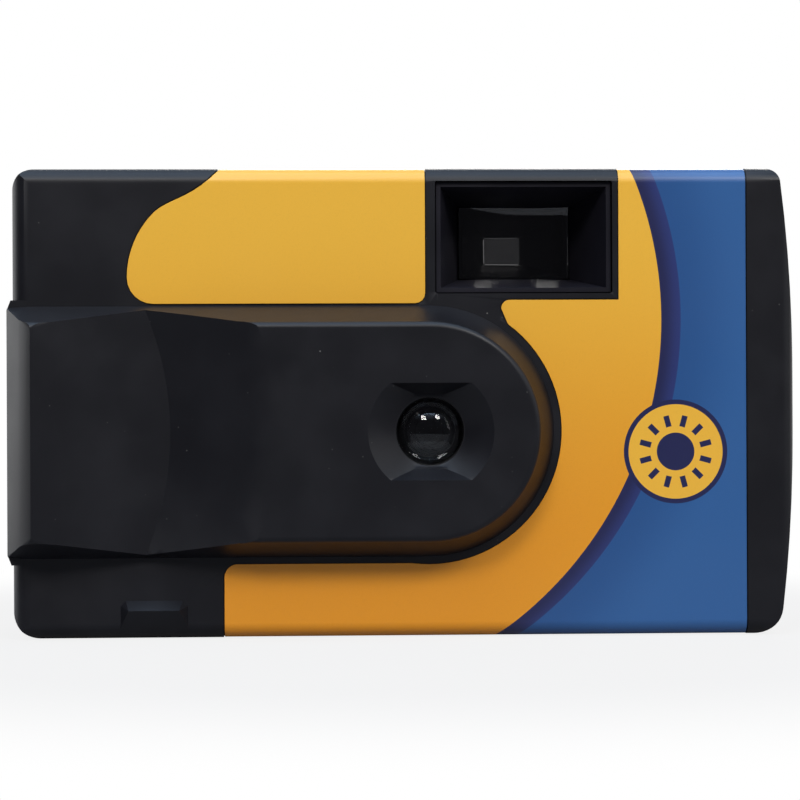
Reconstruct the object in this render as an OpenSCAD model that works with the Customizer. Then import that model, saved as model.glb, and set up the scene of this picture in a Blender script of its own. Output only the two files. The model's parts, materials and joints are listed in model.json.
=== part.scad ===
// Single-use film camera: two moulded covers round a film frame, with wind and shutter works.
// Millimetres. +Z up, the front faces -Y, the lens axis runs along Y.

/* [Covers] */
// Overall width, from the grip to the bowed end
body_w = 101.5; // [92:0.1:114]
// Overall height
body_h = 60.4; // [54.4:0.2:68]
// Depth from the flat front face to the back
base_d = 30; // [27:0.5:34]
// Wall of the moulded covers
wall = 1.4; // [1.2:0.1:1.6]
// How far the grip stands out past the end of the body
grip_proud = 0.5; // [0.3:0.1:1]
// Bow of the other end, over its height
end_bow = 2.1; // [1.4:0.1:2.4]
// Distance from the back to the joint between the covers
part_back = 12; // [11:0.5:13]
// Rounding of the long edges
edge_r = 2; // [1.8:0.1:2.6]
// Corner rounding at the top of the front view, by the grip
top_r = 3; // [2.5:0.1:4]
// Corner rounding at the top of the bowed end
far_top_r = 2; // [1.8:0.1:2.6]
// Corner rounding at the bottom of the front view
bottom_r = 3.8; // [3:0.1:4.6]
// Corner rounding seen from above
plan_r = 6; // [4.5:0.5:7]

/* [Lens panel] */
// Rise of the lens panel above the front face
hump_h = 6; // [5.5:0.1:7]
// How far the panel's foot stays inside the film's edge
hump_in = 1.35; // [0.85:0.05:2]
// Draft of the panel's side wall
hump_draft = 2.1; // [1.6:0.1:2.4]
// Rounding of the panel's rim
hump_edge_r = 0.9; // [0.6:0.1:1.1]
// Mouth radius of the lens funnel
funnel_r = 8; // [7.5:0.1:8.6]
// Depth of the lens funnel
funnel_d = 2.6; // [2.2:0.1:2.8]
// Half height of the funnel's flats at the mouth
funnel_flat = 6.2; // [5.8:0.1:6.8]

/* [Grip] */
// From the grip's end to the groove's valley at mid height
groove_in = 20.8; // [20.5:0.1:22]
// Radius of the valley seen from the front
groove_bow_r = 22; // [20:0.2:28]
// Height of the valley above the front face, at mid height
groove_floor = 0.2; // [0:0.1:0.6]
// Run of the groove's bowed flank, from the valley to the panel's face
groove_right = 14; // [13:0.1:14.6]
// Run of the grip's end wall, from the end to the ridge
end_run = 3.6; // [3:0.1:4.2]

/* [Finder] */
// From the picture's side to the finder opening
finder_in = 18.9; // [18.8:0.1:19.5]
// Finder opening width
finder_w = 22.9; // [22:0.1:23.5]
// From the film's edge up to the finder opening
finder_up = 0.2; // [0.2:0.1:0.6]
// Finder opening height
finder_h = 14.5; // [13.6:0.1:14.6]
// Width of the inner window
window_w = 14.7; // [13.5:0.1:15]
// Height of the inner window
window_h = 9.6; // [8.8:0.1:9.8]
// Depth of the inner window behind the front face
window_d = 11; // [9:0.5:12]
// Eyepiece width
eye_w = 7; // [6.6:0.1:8.4]
// Eyepiece height
eye_h = 5.2; // [5:0.1:6.4]

/* [Label] */
// Thickness of the label
label_t = 0.15; // [0.1:0.01:0.17]
// Depth of the label's seat in the covers
label_seat = 0.25; // [0.24:0.01:0.28]

/* [Film] */
// Film thickness
film_t = 0.2; // [0.14:0.01:0.2]
// Height from the outside of the bottom up to the cartridge
cart_foot = 4.5; // [4.4:0.1:5.2]
// Height from the cartridge up to the outside of the top
works_h = 11.9; // [11.8:0.1:12.6]
// How much taller the cartridge is than the film is wide
cart_over = 9; // [8.6:0.1:9.4]
// Film width that the picture leaves free
rebate = 11; // [10:0.1:12]
// Depth of the covers that the cartridge leaves free
cart_free = 5; // [5:0.1:5.6]
// How much smaller the roll's chamber is than the cartridge, in radius
roll_less = 1.5; // [1.3:0.1:2]
// Room round the film roll
roll_room = 0.85; // [0.8:0.05:1.5]
// Supply spool core radius
core_r = 4.9; // [4:0.1:5.5]
// Cartridge spool core radius
spool_r = 5.5; // [5:0.1:5.6]

/* [Works] */
// How far the thumbwheel stands out past the cartridge
wheel_out = 1.5; // [1.1:0.1:1.5]
// Thumbwheel thickness
wheel_t = 3.6; // [3:0.1:3.7]
// Teeth round the thumbwheel
wheel_teeth = 56; // [40:2:72]
// Sprocket tip radius
sprocket_r = 5.85; // [5.6:0.05:5.9]
// Metering cam radius
cam_r = 4.2; // [3.8:0.1:4.3]
// Counter wheel radius
counter_r = 6.8; // [6.2:0.1:7]
// Counter teeth
counter_teeth = 40; // [32:1:44]
// Button length
button_w = 12; // [10:0.5:12.5]
// Button width
button_d = 8; // [7:0.5:8.5]
// Button travel
button_travel = 1.5; // [1:0.1:1.6]
// Shutter opening radius
shutter_r = 2; // [1.6:0.1:2.2]
// Taking lens dome radius at its foot
lens_r = 4.15; // [3.9:0.05:4.2]

/* [Fits] */
// Gap between a shaft and its bore
run_gap = 0.08; // [0.04:0.01:0.1]
// Gap between moving pieces
move_gap = 0.3; // [0.25:0.05:0.35]
// Gap between fitted still pieces
seat_gap = 0.15; // [0.1:0.01:0.2]

/* [Hidden] */
$fn = 64;
frame_t = 1.2;

// Faces of the covers
y_face = -(base_d + hump_h) / 2;
y_front = y_face + hump_h;
y_back = y_front + base_d;
y_part = y_back - part_back;
x_left = -body_w / 2 + grip_proud;
x_right = body_w / 2;
in_front = y_front + wall;
in_back = y_back - wall;
in_top = body_h - wall;
bow_r = (pow(body_h / 2, 2) + pow(end_bow, 2)) / (2 * end_bow);
back_r = 2.6;
left_r = 2.4;
right_r = 2.2;

// Film path
cart_h = body_h - cart_foot - works_h;
cart_r = (base_d - cart_free) / 2;
cart_gap = 0.4;
chamber_t = 1;
chamber_r = cart_r + cart_gap;
roll_chamber_r = cart_r - roll_less;
roll_r = roll_chamber_r - roll_room;
roll_wall = 0.9;
end_room = 1.1;
far_room = 2.5;
lip_room = 5.2;
web_room = 1.7;
cart_x = x_left + wall + end_room + chamber_t + chamber_r;
roll_x = x_right - wall - far_room - roll_wall - roll_chamber_r;
gate_x0 = cart_x + chamber_r + chamber_t + lip_room;
gate_x1 = roll_x - roll_chamber_r - chamber_t - web_room;
gate_w = gate_x1 - gate_x0;
film_w = cart_h - cart_over;
gate_h = film_w - rebate;
lens_x = (gate_x0 + gate_x1) / 2;
lens_z = cart_foot + cart_h / 2;
film_y = in_back - 1.1 - film_t;
gate_y = film_y - 0.1;
film_z0 = lens_z - film_w / 2;
film_z1 = lens_z + film_w / 2;
hole_in = 3.4;
cart_y = in_back - move_gap - cart_r;
cart_z0 = lens_z - cart_h / 2;
cart_z1 = lens_z + cart_h / 2;
cap_t = 0.8;
floor_z = cart_z0 - 0.4 - frame_t;
ceiling_z = cart_z1 + 0.3 + frame_t;
roll_y = film_y - seat_gap - roll_r;
roll_floor = film_z0 - 1.2;
roll_ceiling = film_z1 + 1.2;

// Front
hump_r = film_w / 2 - hump_in;
groove_x = groove_in - body_w / 2;
grip_over = 0.8;
finder_x0 = gate_x0 + finder_in;
finder_z0 = film_z1 + finder_up;

// Frame
board_y = in_front + frame_t;
board_t = frame_t;
web_l = gate_x0 - lip_room - 1.2;
web_r = gate_x1 + web_room;
deck_z = film_z1 + 0.6 + 1.6;
works_x1 = finder_x0 - 0.8 - 0.6;

// Wind and shutter works, seen from above
wheel_r = cart_r + wheel_out;
wheel_z = ceiling_z + 0.4;
wheel_top = wheel_z + wheel_t;
shaft_x = gate_x0 + 2.4;
shaft_y = film_y - seat_gap - sprocket_r;
shaft_r = 1.6;
sprocket_z = film_z1 - hole_in - 0.7;
keeper_z = deck_z + 6.4;
keeper_t = 1.2;
keeper_top = keeper_z + keeper_t;
lever_z = keeper_z - 1.7;
lever_t = 1.3;
tooth_r = 3;
counter_z = keeper_top + 0.5;
counter_t = 1.2;
counter_d = tooth_r + counter_r + 0.25;
counter_x = shaft_x + counter_d * cos(50);
counter_y = shaft_y - counter_d * sin(50);
number_r = counter_r - 2;
meter_x = shaft_x - 4;
meter_y = shaft_y - 8.3;
strike_x = shaft_x + 3;
strike_y = shaft_y - 11.3;
strike_arm_y = in_front + 2.5;
strike_z = deck_z + 0.5;
strike_t = 1.6;
post_r = 1.2;
pawl_x = web_l + 2.8;
pawl_y = in_front + 3.1;
pawl_z = wheel_z + 0.3;
pawl_t = 1.8;

// Button
button_x = cart_x;
button_y = in_front + 6.6;
finger_x = meter_x + 0.2;
finger_y = meter_y - 4.4;
finger_r = 1;
flange_z1 = in_top - seat_gap;
flange_z0 = flange_z1 - 1.2;
spring_wire = 0.4;

// Lens and shutter
blade_x = lens_x - 8.5;
blade_z = lens_z + 7.5;
blade_y0 = board_y - 0.25;
blade_t = 0.3;
blade_tab_z = deck_z + 1.4;
plate_y0 = blade_y0 - blade_t - 0.3;
plate_t = 1.2;
board_r = hump_r - 3.9;
board_pin_r = 1.3;
plate_y1 = plate_y0 - plate_t;
hole_r = lens_r + 0.2;
seat_y = y_face + funnel_d + 0.5;
ring_y0 = seat_y + move_gap;
ring_t = 0.95;
cup_y = ring_y0 + ring_t;
dome_h = 2.1;

// Finder
finder_x = finder_x0 + finder_w / 2;
finder_zc = finder_z0 + finder_h / 2;
window_x = finder_x - 0.5;
window_z = finder_zc - 0.2;
window_y = y_front + window_d;
eye_x = window_x - 1;
eye_z = window_z - 0.6;
finder_t = 0.8;
front_lens_r = 21;
front_lens_t = 2.6;
front_lens_dish = 2;
eye_lens_r = 14;

// Label outline
lobe_x = 15.3 - body_w / 2;
lobe_z0 = lens_z + hump_r + 0.3;
lobe_r = 11.84;
lobe_corner = 3.38;
lobe_c = [lobe_x + lobe_r, lobe_z0 + lobe_corner];
label_x0 = lobe_c.x - 0.1;
label_x1 = x_right - 6.4;
label_r = 1.3;
notch = [lens_x + 9.4, lobe_z0 + 0.4];
notch_r = 1.1;
strip_x0 = label_x0 + 0.6;
strip_r = 1.7;
strip_z = lens_z - hump_r - 0.85;
back_gap = 1.6;
back_x0 = cart_x + cart_r + back_gap;
label_gap = 1;
glue_t = 0.04;

// A rectangle with its own radius at each corner
module corner_rect(lo, hi, r) {
    polygon([
        [lo.x + r[0], lo.y], [hi.x - r[1], lo.y], [hi.x, lo.y + r[1]], [hi.x, hi.y - r[2]],
        [hi.x - r[2], hi.y], [lo.x + r[3], hi.y], [lo.x, hi.y - r[3]], [lo.x, lo.y + r[0]]]);
    translate([lo.x + r[0], lo.y + r[0]]) circle(r[0]);
    translate([hi.x - r[1], lo.y + r[1]]) circle(r[1]);
    translate([hi.x - r[2], hi.y - r[2]]) circle(r[2]);
    translate([lo.x + r[3], hi.y - r[3]]) circle(r[3]);
}

// A box between two corners
module block(lo, hi) {
    translate(lo) cube(hi - lo);
}

// A front view shape, drawn in X and Z, between two depths
module front_slab(y0, y1) {
    translate([0, y1, 0]) rotate([90, 0, 0]) linear_extrude(y1 - y0) children();
}

// A side view shape, drawn in Y and Z, between two places across
module side_slab(x0, x1) {
    translate([x0, 0, 0]) rotate([90, 0, 90]) linear_extrude(x1 - x0) children();
}

// A cylinder along Y, from y0 back to y1
module rod_y(x, z, y0, y1, r) {
    translate([x, y1, z]) rotate([90, 0, 0]) cylinder(r = r, h = y1 - y0);
}

// An upright cylinder
module rod_z(x, y, z0, z1, r) {
    translate([x, y, z0]) cylinder(r = r, h = z1 - z0);
}

// A flat bar with round ends between two points seen from above
module bar(a, b, z0, z1, w) {
    d = b - a;
    translate([a.x, a.y, z0]) rotate([0, 0, atan2(d.y, d.x)]) linear_extrude(z1 - z0) {
        translate([0, -w / 2]) square([norm(d), w]);
        circle(w / 2);
        translate([norm(d), 0]) circle(w / 2);
    }
}

// A four-sided funnel between two rectangles at two depths
module frustum(a_lo, a_hi, ya, b_lo, b_hi, yb) {
    polyhedron(
        points = [
            [a_lo.x, ya, a_lo.y], [a_hi.x, ya, a_lo.y], [a_hi.x, ya, a_hi.y], [a_lo.x, ya, a_hi.y],
            [b_lo.x, yb, b_lo.y], [b_hi.x, yb, b_lo.y], [b_hi.x, yb, b_hi.y], [b_lo.x, yb, b_hi.y]],
        faces = [[3, 2, 1, 0], [4, 5, 6, 7], [0, 1, 5, 4], [1, 2, 6, 5], [2, 3, 7, 6], [3, 0, 4, 7]]);
}

// A round tube swept along a list of points
module wire(path, r, sides = 8) {
    n = len(path);
    dir = [for (i = [0:n - 1]) let (d = path[min(i + 1, n - 1)] - path[max(i - 1, 0)]) d / norm(d)];
    ring = [for (i = [0:n - 1])
        let (
            ref = abs(dir[i].z) > 0.9 ? [1, 0, 0] : [0, 0, 1],
            u0 = cross(dir[i], ref),
            u = u0 / norm(u0),
            v = cross(dir[i], u))
        for (k = [0:sides - 1]) path[i] + r * (u * cos(360 * k / sides) + v * sin(360 * k / sides))];
    faces = concat(
        [[for (k = [0:sides - 1]) k]],
        [for (i = [0:n - 2]) for (k = [0:sides - 1])
            let (a = i * sides + k, b = i * sides + (k + 1) % sides)
            each [[a, a + sides, b], [b, a + sides, b + sides]]],
        [[for (k = [sides - 1:-1:0]) (n - 1) * sides + k]]);
    polyhedron(points = ring, faces = faces);
}

// Points of a coil round an upright axis
function coil(x, y, z0, z1, r, turns, step = 30) =
    [for (a = [0:step:turns * 360]) [x + r * cos(a), y + r * sin(a), z0 + (z1 - z0) * a / (turns * 360)]];

// Middle of a corner rounding that touches the bowed end from inside
function bow_corner(r, z, inset) =
    [x_right - bow_r + sqrt(pow(bow_r - inset - r, 2) - pow(z - body_h / 2, 2)), z];

// The covers' outline from the front, in X and Z: rounded corners and one bowed end
module front_outline(inset) {
    lo = [x_left + inset, inset];
    top = body_h - inset;
    r = [for (radius = [bottom_r, bottom_r, far_top_r, top_r]) radius - inset];
    low = bow_corner(r[1], lo.y + r[1], inset);
    high = bow_corner(r[2], top - r[2], inset);
    bow_c = [x_right - bow_r, body_h / 2];
    a = [for (p = [low, high]) atan2(p.y - bow_c.y, p.x - bow_c.x)];
    a_step = (a[1] - a[0]) / 12;
    polygon(concat(
        [[lo.x, top - r[3]], [lo.x, lo.y + r[0]], [lo.x + r[0], lo.y]],
        arc(low, r[1], -90, a[0], 9),
        arc(bow_c, bow_r - inset, a[0] + a_step, a[1] - a_step, 10),
        arc(high, r[2], a[1], 90, 7),
        [[lo.x + r[3], top]]));
    translate([lo.x + r[0], lo.y + r[0]]) circle(r[0]);
    translate([lo.x + r[3], top - r[3]]) circle(r[3]);
}

// The covers' outside without the lens panel, drawn in by an inset
module body_solid(inset = 0) {
    lo = [x_left + inset, y_front + inset, inset];
    hi = [x_right - inset, y_back - inset, body_h - inset];
    pr = [for (r = [left_r, right_r, plan_r, plan_r - 1]) r - inset];
    sr = [for (r = [edge_r, back_r, back_r, edge_r]) r - inset];
    intersection() {
        front_slab(lo.y - 1, hi.y + 1) front_outline(inset);
        translate([0, 0, -1]) linear_extrude(body_h + 2) corner_rect([lo.x, lo.y], [hi.x + 0.01, hi.y], pr);
        side_slab(lo.x - 1, hi.x + 1) corner_rect([lo.y, lo.z], [hi.y, hi.z], sr);
    }
}

// Half of the lens panel's section: distance from its middle, and height
module hump_half(inset, foot) {
    r0 = hump_r - inset;
    r1 = r0 - hump_draft;
    h = hump_h - inset;
    e = max(hump_edge_r - inset, 0.3);
    polygon([[0, -foot], [r0, -foot], [r0, 0], [r1, h - e], [r1 - e, h], [0, h]]);
    translate([r1 - e, h - e]) circle(e);
}

// The lens panel: a long bar that ends in a half round about the lens axis
module hump(inset = 0, foot = 0.5) {
    x0 = -body_w / 2 + inset;
    difference() {
        union() {
            translate([lens_x, y_front, lens_z]) rotate([90, 0, 0]) rotate([0, 0, -90])
                rotate_extrude(angle = 180, $fn = 128) hump_half(inset, foot);
            translate([lens_x, y_front, lens_z]) rotate([180, 0, 0]) rotate([0, -90, 0])
                linear_extrude(lens_x - x0) {
                    hump_half(inset, foot);
                    mirror([1, 0]) hump_half(inset, foot);
                }
        }
        translate([0, 0, -1]) linear_extrude(body_h + 2)
            polygon([[x0 - 2, y_front - 0.6], [x0, y_front - 0.6],
                [x0 + 0.55 * end_run, y_front - 0.75 * hump_h], [x0 + end_run, y_face - 0.1],
                [x0 + end_run, y_face - 3], [x0 - 2, y_face - 3]]);
        groove_cut(inset * 1.15);
    }
}

// What the grip's groove takes off the panel: a flat flank from the ridge by the end down to a
// bowed valley, and a bowed flank from there up to the panel's face
module groove_cut(drop = 0) {
    v = groove_floor - drop;
    rise = hump_h - groove_floor;
    b = groove_bow_r;
    fall = rise / (groove_x + body_w / 2 - end_run);
    steep = rise / groove_right;
    x = [-body_w / 2, groove_x + 1.4 * groove_right];
    deep = 8;
    high = 4 * hump_h;
    intersection() {
        translate([0, 0, -1]) linear_extrude(body_h + 2) polygon([
            [x[0], y_front - v - fall * (groove_x - x[0])], [x[1], y_front - v - fall * (groove_x - x[1])],
            [x[1], y_front - high], [x[0], y_front - high]]);
        translate([groove_x - b, y_front, lens_z]) rotate([90, 0, 0]) rotate([0, 0, -90])
            rotate_extrude(angle = 180, $fn = 180) polygon([
                [0.5, v - deep * steep], [b - deep, v - deep * steep],
                [b + 1.4 * groove_right, v + 1.4 * rise], [b + 1.4 * groove_right, high], [0.5, high]]);
    }
}

// A point on a cubic curve with four control points
function cubic(p, t) =
    pow(1 - t, 3) * p[0] + 3 * t * pow(1 - t, 2) * p[1] + 3 * t * t * (1 - t) * p[2] + pow(t, 3) * p[3];

// Points of an arc
function arc(c, r, a0, a1, n) = [for (i = [0:n]) let (a = a0 + (a1 - a0) * i / n) c + r * [cos(a), sin(a)]];

// The label's upper piece: a round corner, a wide arc and a curve like an S up to the top edge
function lobe_outline(g) =
    let (
        grow = 0.7 * [-g, g],
        start = lobe_c + (lobe_r + g) * [cos(139), sin(139)],
        sway = [
            start,
            lobe_c + [-6.9, 10.3] + grow,
            lobe_c + [-3.9, 9.7] + grow,
            lobe_c + [-0.1, 13.8] + grow],
        right = finder_x0 - 1.3 - label_r)
    concat(
        arc([lobe_x + lobe_corner, lobe_c.y], lobe_corner + g, 270, 180, 6),
        arc(lobe_c, lobe_r + g, 175, 142, 6),
        [for (t = [0:0.1:1]) cubic(sway, t)],
        [[label_x0 - g, body_h + 2], [right + label_r + g, body_h + 2]],
        arc([right, lobe_z0 + label_r], label_r + g, 0, -90, 4));

// What rounds an upper left corner of the label, in X and Z
module corner_off(p, r, g) {
    difference() {
        translate([p.x - 1, p.y - r]) square([r + 1, r + 1]);
        translate([p.x + r, p.y - r]) circle(r + g);
    }
}

// The label's front pieces, in X and Z
module label_front(g = 0) {
    polygon(lobe_outline(g));
    // right and lower piece round the lens panel
    difference() {
        translate([strip_x0 - g, -1]) square([label_x1 - strip_x0 + 2 * g, body_h + 2]);
        translate([lens_x, lens_z]) circle(hump_r + label_gap - g, $fn = 128);
        translate([-body_w, strip_z + g]) square([body_w + lens_x + 0.5, body_h]);
        translate([lens_x - 1, lens_z + hump_r - 4]) square([notch.x - lens_x + 1 - g, body_h]);
        translate([lens_x - 1, notch.y + g])
            square([finder_x0 + finder_w + 0.8 - lens_x + 1 - g, body_h]);
        corner_off([strip_x0, strip_z], strip_r, g);
        corner_off(notch, notch_r, g);
    }
}

// The label's outline on the top, in X and Y
module label_top(g = 0) {
    difference() {
        polygon([[label_x0 - g, y_front - 1], [label_x1 + g, y_front - 1], [label_x1 + g, y_back + 1],
            [back_x0 - g, y_back + 1], [back_x0 - g, y_back - 6], [label_x0 - g, y_front + 4]]);
        translate([finder_x0 - 1.3 + g, y_front - 2]) square([finder_w + 2.1 - 2 * g, 8]);
        translate([counter_x, counter_y - number_r]) circle(3.6 - g);
    }
}

// The label's outline on the back, in X and Z
module label_back(g = 0) {
    difference() {
        translate([back_x0 - g, -1]) square([label_x1 - back_x0 + 2 * g, body_h + 2]);
        corner_rect([eye_x - 8 + g, eye_z - 6.4 + g], [eye_x + 8 - g, eye_z + 6.4 - g], [2, 2, 2, 2]);
    }
}

// The room the label takes up, before it is cut to the covers' skin
module label_zone(g = 0) {
    front_slab(y_front - 1, y_front + 4) label_front(g);
    translate([0, 0, body_h / 2]) linear_extrude(body_h) intersection() {
        label_top(g);
        translate([-60, y_front + 3.9]) square([120, base_d - 9.8]);
    }
    translate([0, 0, -1]) linear_extrude(body_h / 2) intersection() {
        translate([back_x0 - g, y_front]) square([label_x1 - back_x0 + 2 * g, base_d]);
        translate([-60, y_front + 3.9]) square([120, base_d - 9.8]);
    }
    front_slab(y_back - 6, y_back + 1) label_back(g);
}

// Both covers' outer skin with the label's seat sunk in it
module seated_body() {
    difference() {
        body_solid();
        difference() {
            label_zone(0.15);
            body_solid(label_seat);
        }
    }
}

// The catch of the film door, a low roof shape with its upper corners off at the foot of the front
module door_catch() {
    x = [cart_x - 2.9, cart_x + 6.4];
    z = [0.7, 3.7, 5.3];
    hip = 1.4;
    off = 0.9;
    y0 = y_front + wall / 3;
    y1 = y_front - 1.4;
    polyhedron(
        points = [
            [x[0], y0, z[0]], [x[1], y0, z[0]], [x[1], y0, z[2] - off], [x[1] - off, y0, z[2]],
            [x[0] + off, y0, z[2]], [x[0], y0, z[2] - off],
            [x[0] + hip, y1, z[1]], [x[1] - hip, y1, z[1]]],
        faces = [[0, 1, 2, 3, 4, 5], [0, 6, 7, 1], [6, 4, 3, 7], [0, 5, 6], [5, 4, 6], [1, 7, 2],
            [2, 7, 3]]);
}

// The pad of the grip on the body's end
module grip_pad() {
    out = -body_w / 2;
    translate([0, 0, lens_z - hump_r - grip_over]) linear_extrude(2 * (hump_r + grip_over))
        polygon([[out, y_front - 0.5], [out, y_part - 1.5], [x_left, y_part - 0.2],
            [x_left + 1, y_part - 0.2], [x_left + 3, y_front + 0.1]]);
}

// What slopes the grip's upper and lower corners off
module grip_corners() {
    out = -body_w / 2;
    for (s = [-1, 1]) {
        z = lens_z + s * hump_r;
        front_slab(y_face - 1, y_part + 1) polygon([
            [x_left, z + s * grip_over], [out, z - 0.5 * s], [out - 1, z - 0.5 * s],
            [out - 1, z + 3 * s], [x_left, z + 3 * s]]);
    }
}

// Capsule seen from above
module capsule(w, d) {
    square([w - d, d], center = true);
    translate([(w - d) / 2, 0]) circle(d / 2);
    translate([(d - w) / 2, 0]) circle(d / 2);
}

// Opening in the bottom for the film door, drawn in by a gap
module door_plan(g = 0) {
    corner_rect([cart_x - cart_r + g, cart_y - cart_r + 1.5 + g],
        [cart_x + cart_r - g, cart_y + cart_r - 2 - g], [2, 2, 2, 2]);
}

module front_cover() {
    color("#202124") difference() {
        union() {
            difference() {
                union() {
                    intersection() {
                        seated_body();
                        block([-60, y_front - 1, -1], [60, y_part, body_h + 1]);
                    }
                    hump();
                    grip_pad();
                    door_catch();
                }
                grip_corners();
                body_solid(wall);
                hump(wall, wall + 0.2);
                intersection() {
                    body_solid(wall / 2 - 0.03);
                    block([-60, y_part - 1.6, -1], [60, y_part + 1, body_h + 1]);
                }
            }
            rod_y(lens_x, lens_z, y_face + wall / 2, seat_y, funnel_r + 1.6);
            rod_z(cart_x, cart_y, wheel_top + 0.2, in_top + 0.3, 2);
        }
        lens_funnel();
        rod_y(lens_x, lens_z, y_face - 1, 0, hole_r);
        front_slab(y_front - 1, in_front + 1) corner_rect([finder_x0, finder_z0],
            [finder_x0 + finder_w, finder_z0 + finder_h], [0.3, 0.3, 0.3, 0.3]);
        translate([button_x, button_y, flange_z1]) linear_extrude(10)
            capsule(button_w + 2 * move_gap, button_d + 2 * move_gap);
        rod_z(counter_x, counter_y - number_r, in_top - 1, body_h + 1, 2.6);
        translate([0, 0, -1]) linear_extrude(wall + 2) door_plan();
    }
}

// The funnel round the lens: a cone cut flat above and below
module lens_funnel() {
    intersection() {
        translate([lens_x, y_face + funnel_d, lens_z]) rotate([90, 0, 0])
            cylinder(r1 = hole_r + 0.1, r2 = funnel_r + (funnel_r - hole_r) * 0.2, h = funnel_d * 1.2);
        side_slab(lens_x - 20, lens_x + 20) polygon([
            [y_face + funnel_d, lens_z - hole_r - 0.1], [y_face - 0.2, lens_z - funnel_flat - 0.1],
            [y_face - 0.2, lens_z + funnel_flat + 0.1], [y_face + funnel_d, lens_z + hole_r + 0.1]]);
    }
}

module rear_cover() {
    pocket_y = y_back - 1.6;
    thumb_w = wheel_r - 3;
    rib = film_w / 2 - hole_in;
    eye = [eye_x, eye_z];
    e = [eye_w, eye_h] / 2;
    gap = [seat_gap, seat_gap];
    color("#202124") difference() {
        union() {
            difference() {
                intersection() {
                    union() {
                        intersection() {
                            seated_body();
                            block([-60, y_part + 0.05, -1], [60, y_back + 1, body_h + 1]);
                        }
                        intersection() {
                            body_solid(wall / 2 + 0.03);
                            block([-60, y_part - 1.5, -1], [60, y_part + 1, body_h + 1]);
                        }
                    }
                    block([-60, y_part - 2, -1], [60, y_back + 1, body_h + 1]);
                }
                body_solid(wall);
            }
            // thumb recess floor
            intersection() {
                body_solid(wall / 2);
                block([cart_x - thumb_w - wall, pocket_y - wall, ceiling_z - 0.6],
                    [cart_x + thumb_w + wall, y_back, body_h]);
            }
            // ribs that keep the film flat
            for (z = [-rib - 1.3, 0.7 - rib, rib - 0.7, rib + 1.3])
                block([gate_x0, film_y + film_t + seat_gap, lens_z + z - 0.4],
                    [gate_x1, in_back + 0.4, lens_z + z + 0.4]);
        }
        // thumb recess
        side_slab(cart_x - thumb_w, cart_x + thumb_w) polygon([
            [pocket_y, ceiling_z + 0.9], [y_back + 0.1, ceiling_z - 0.7], [y_back + 3, ceiling_z - 0.7],
            [y_back + 3, body_h - 1.9], [y_back + 0.1, body_h - 2.4], [pocket_y, body_h - 3.2]]);
        rod_z(cart_x, cart_y, wheel_z - move_gap, wheel_top + move_gap, wheel_r + move_gap);
        // eyepiece
        front_slab(in_back - 1, y_back + 1)
            corner_rect(eye - e - gap, eye + e + gap, [0.6, 0.6, 0.6, 0.6]);
        frustum(eye - e - [0.4, 0.4], eye + e + [0.4, 0.4], y_back - 0.9,
            eye - e - [2.6, 2.2], eye + e + [2.6, 2.2], y_back + 0.3);
        translate([0, 0, -1]) linear_extrude(wall + 2) door_plan();
    }
}

module wrap_label() {
    color("#e3a83c") difference() {
        intersection() {
            label_zone();
            body_solid(label_seat - glue_t - label_t);
        }
        body_solid(label_seat - glue_t);
    }
}

module cartridge_door() {
    color("#202124") {
        intersection() {
            translate([0, 0, 0.1]) linear_extrude(wall - 0.1) door_plan(seat_gap);
            body_solid(0.05);
        }
        translate([0, 0, wall - 0.3]) linear_extrude(1.1) intersection() {
            translate([cart_x, cart_y]) circle(cart_r - 2.4);
            door_plan(seat_gap + 0.4);
        }
    }
}

// The dark box between the shutter and the picture gate
module light_box(grow) {
    frustum([lens_x - 4.5 - grow, lens_z - 3.5 - grow], [lens_x + 4.5 + grow, lens_z + 3.5 + grow],
        board_y - 0.1 + grow / 10, [gate_x0 - grow, lens_z - gate_h / 2 - grow],
        [gate_x1 + grow, lens_z + gate_h / 2 + grow], gate_y + 0.1 - grow / 10);
}

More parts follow.
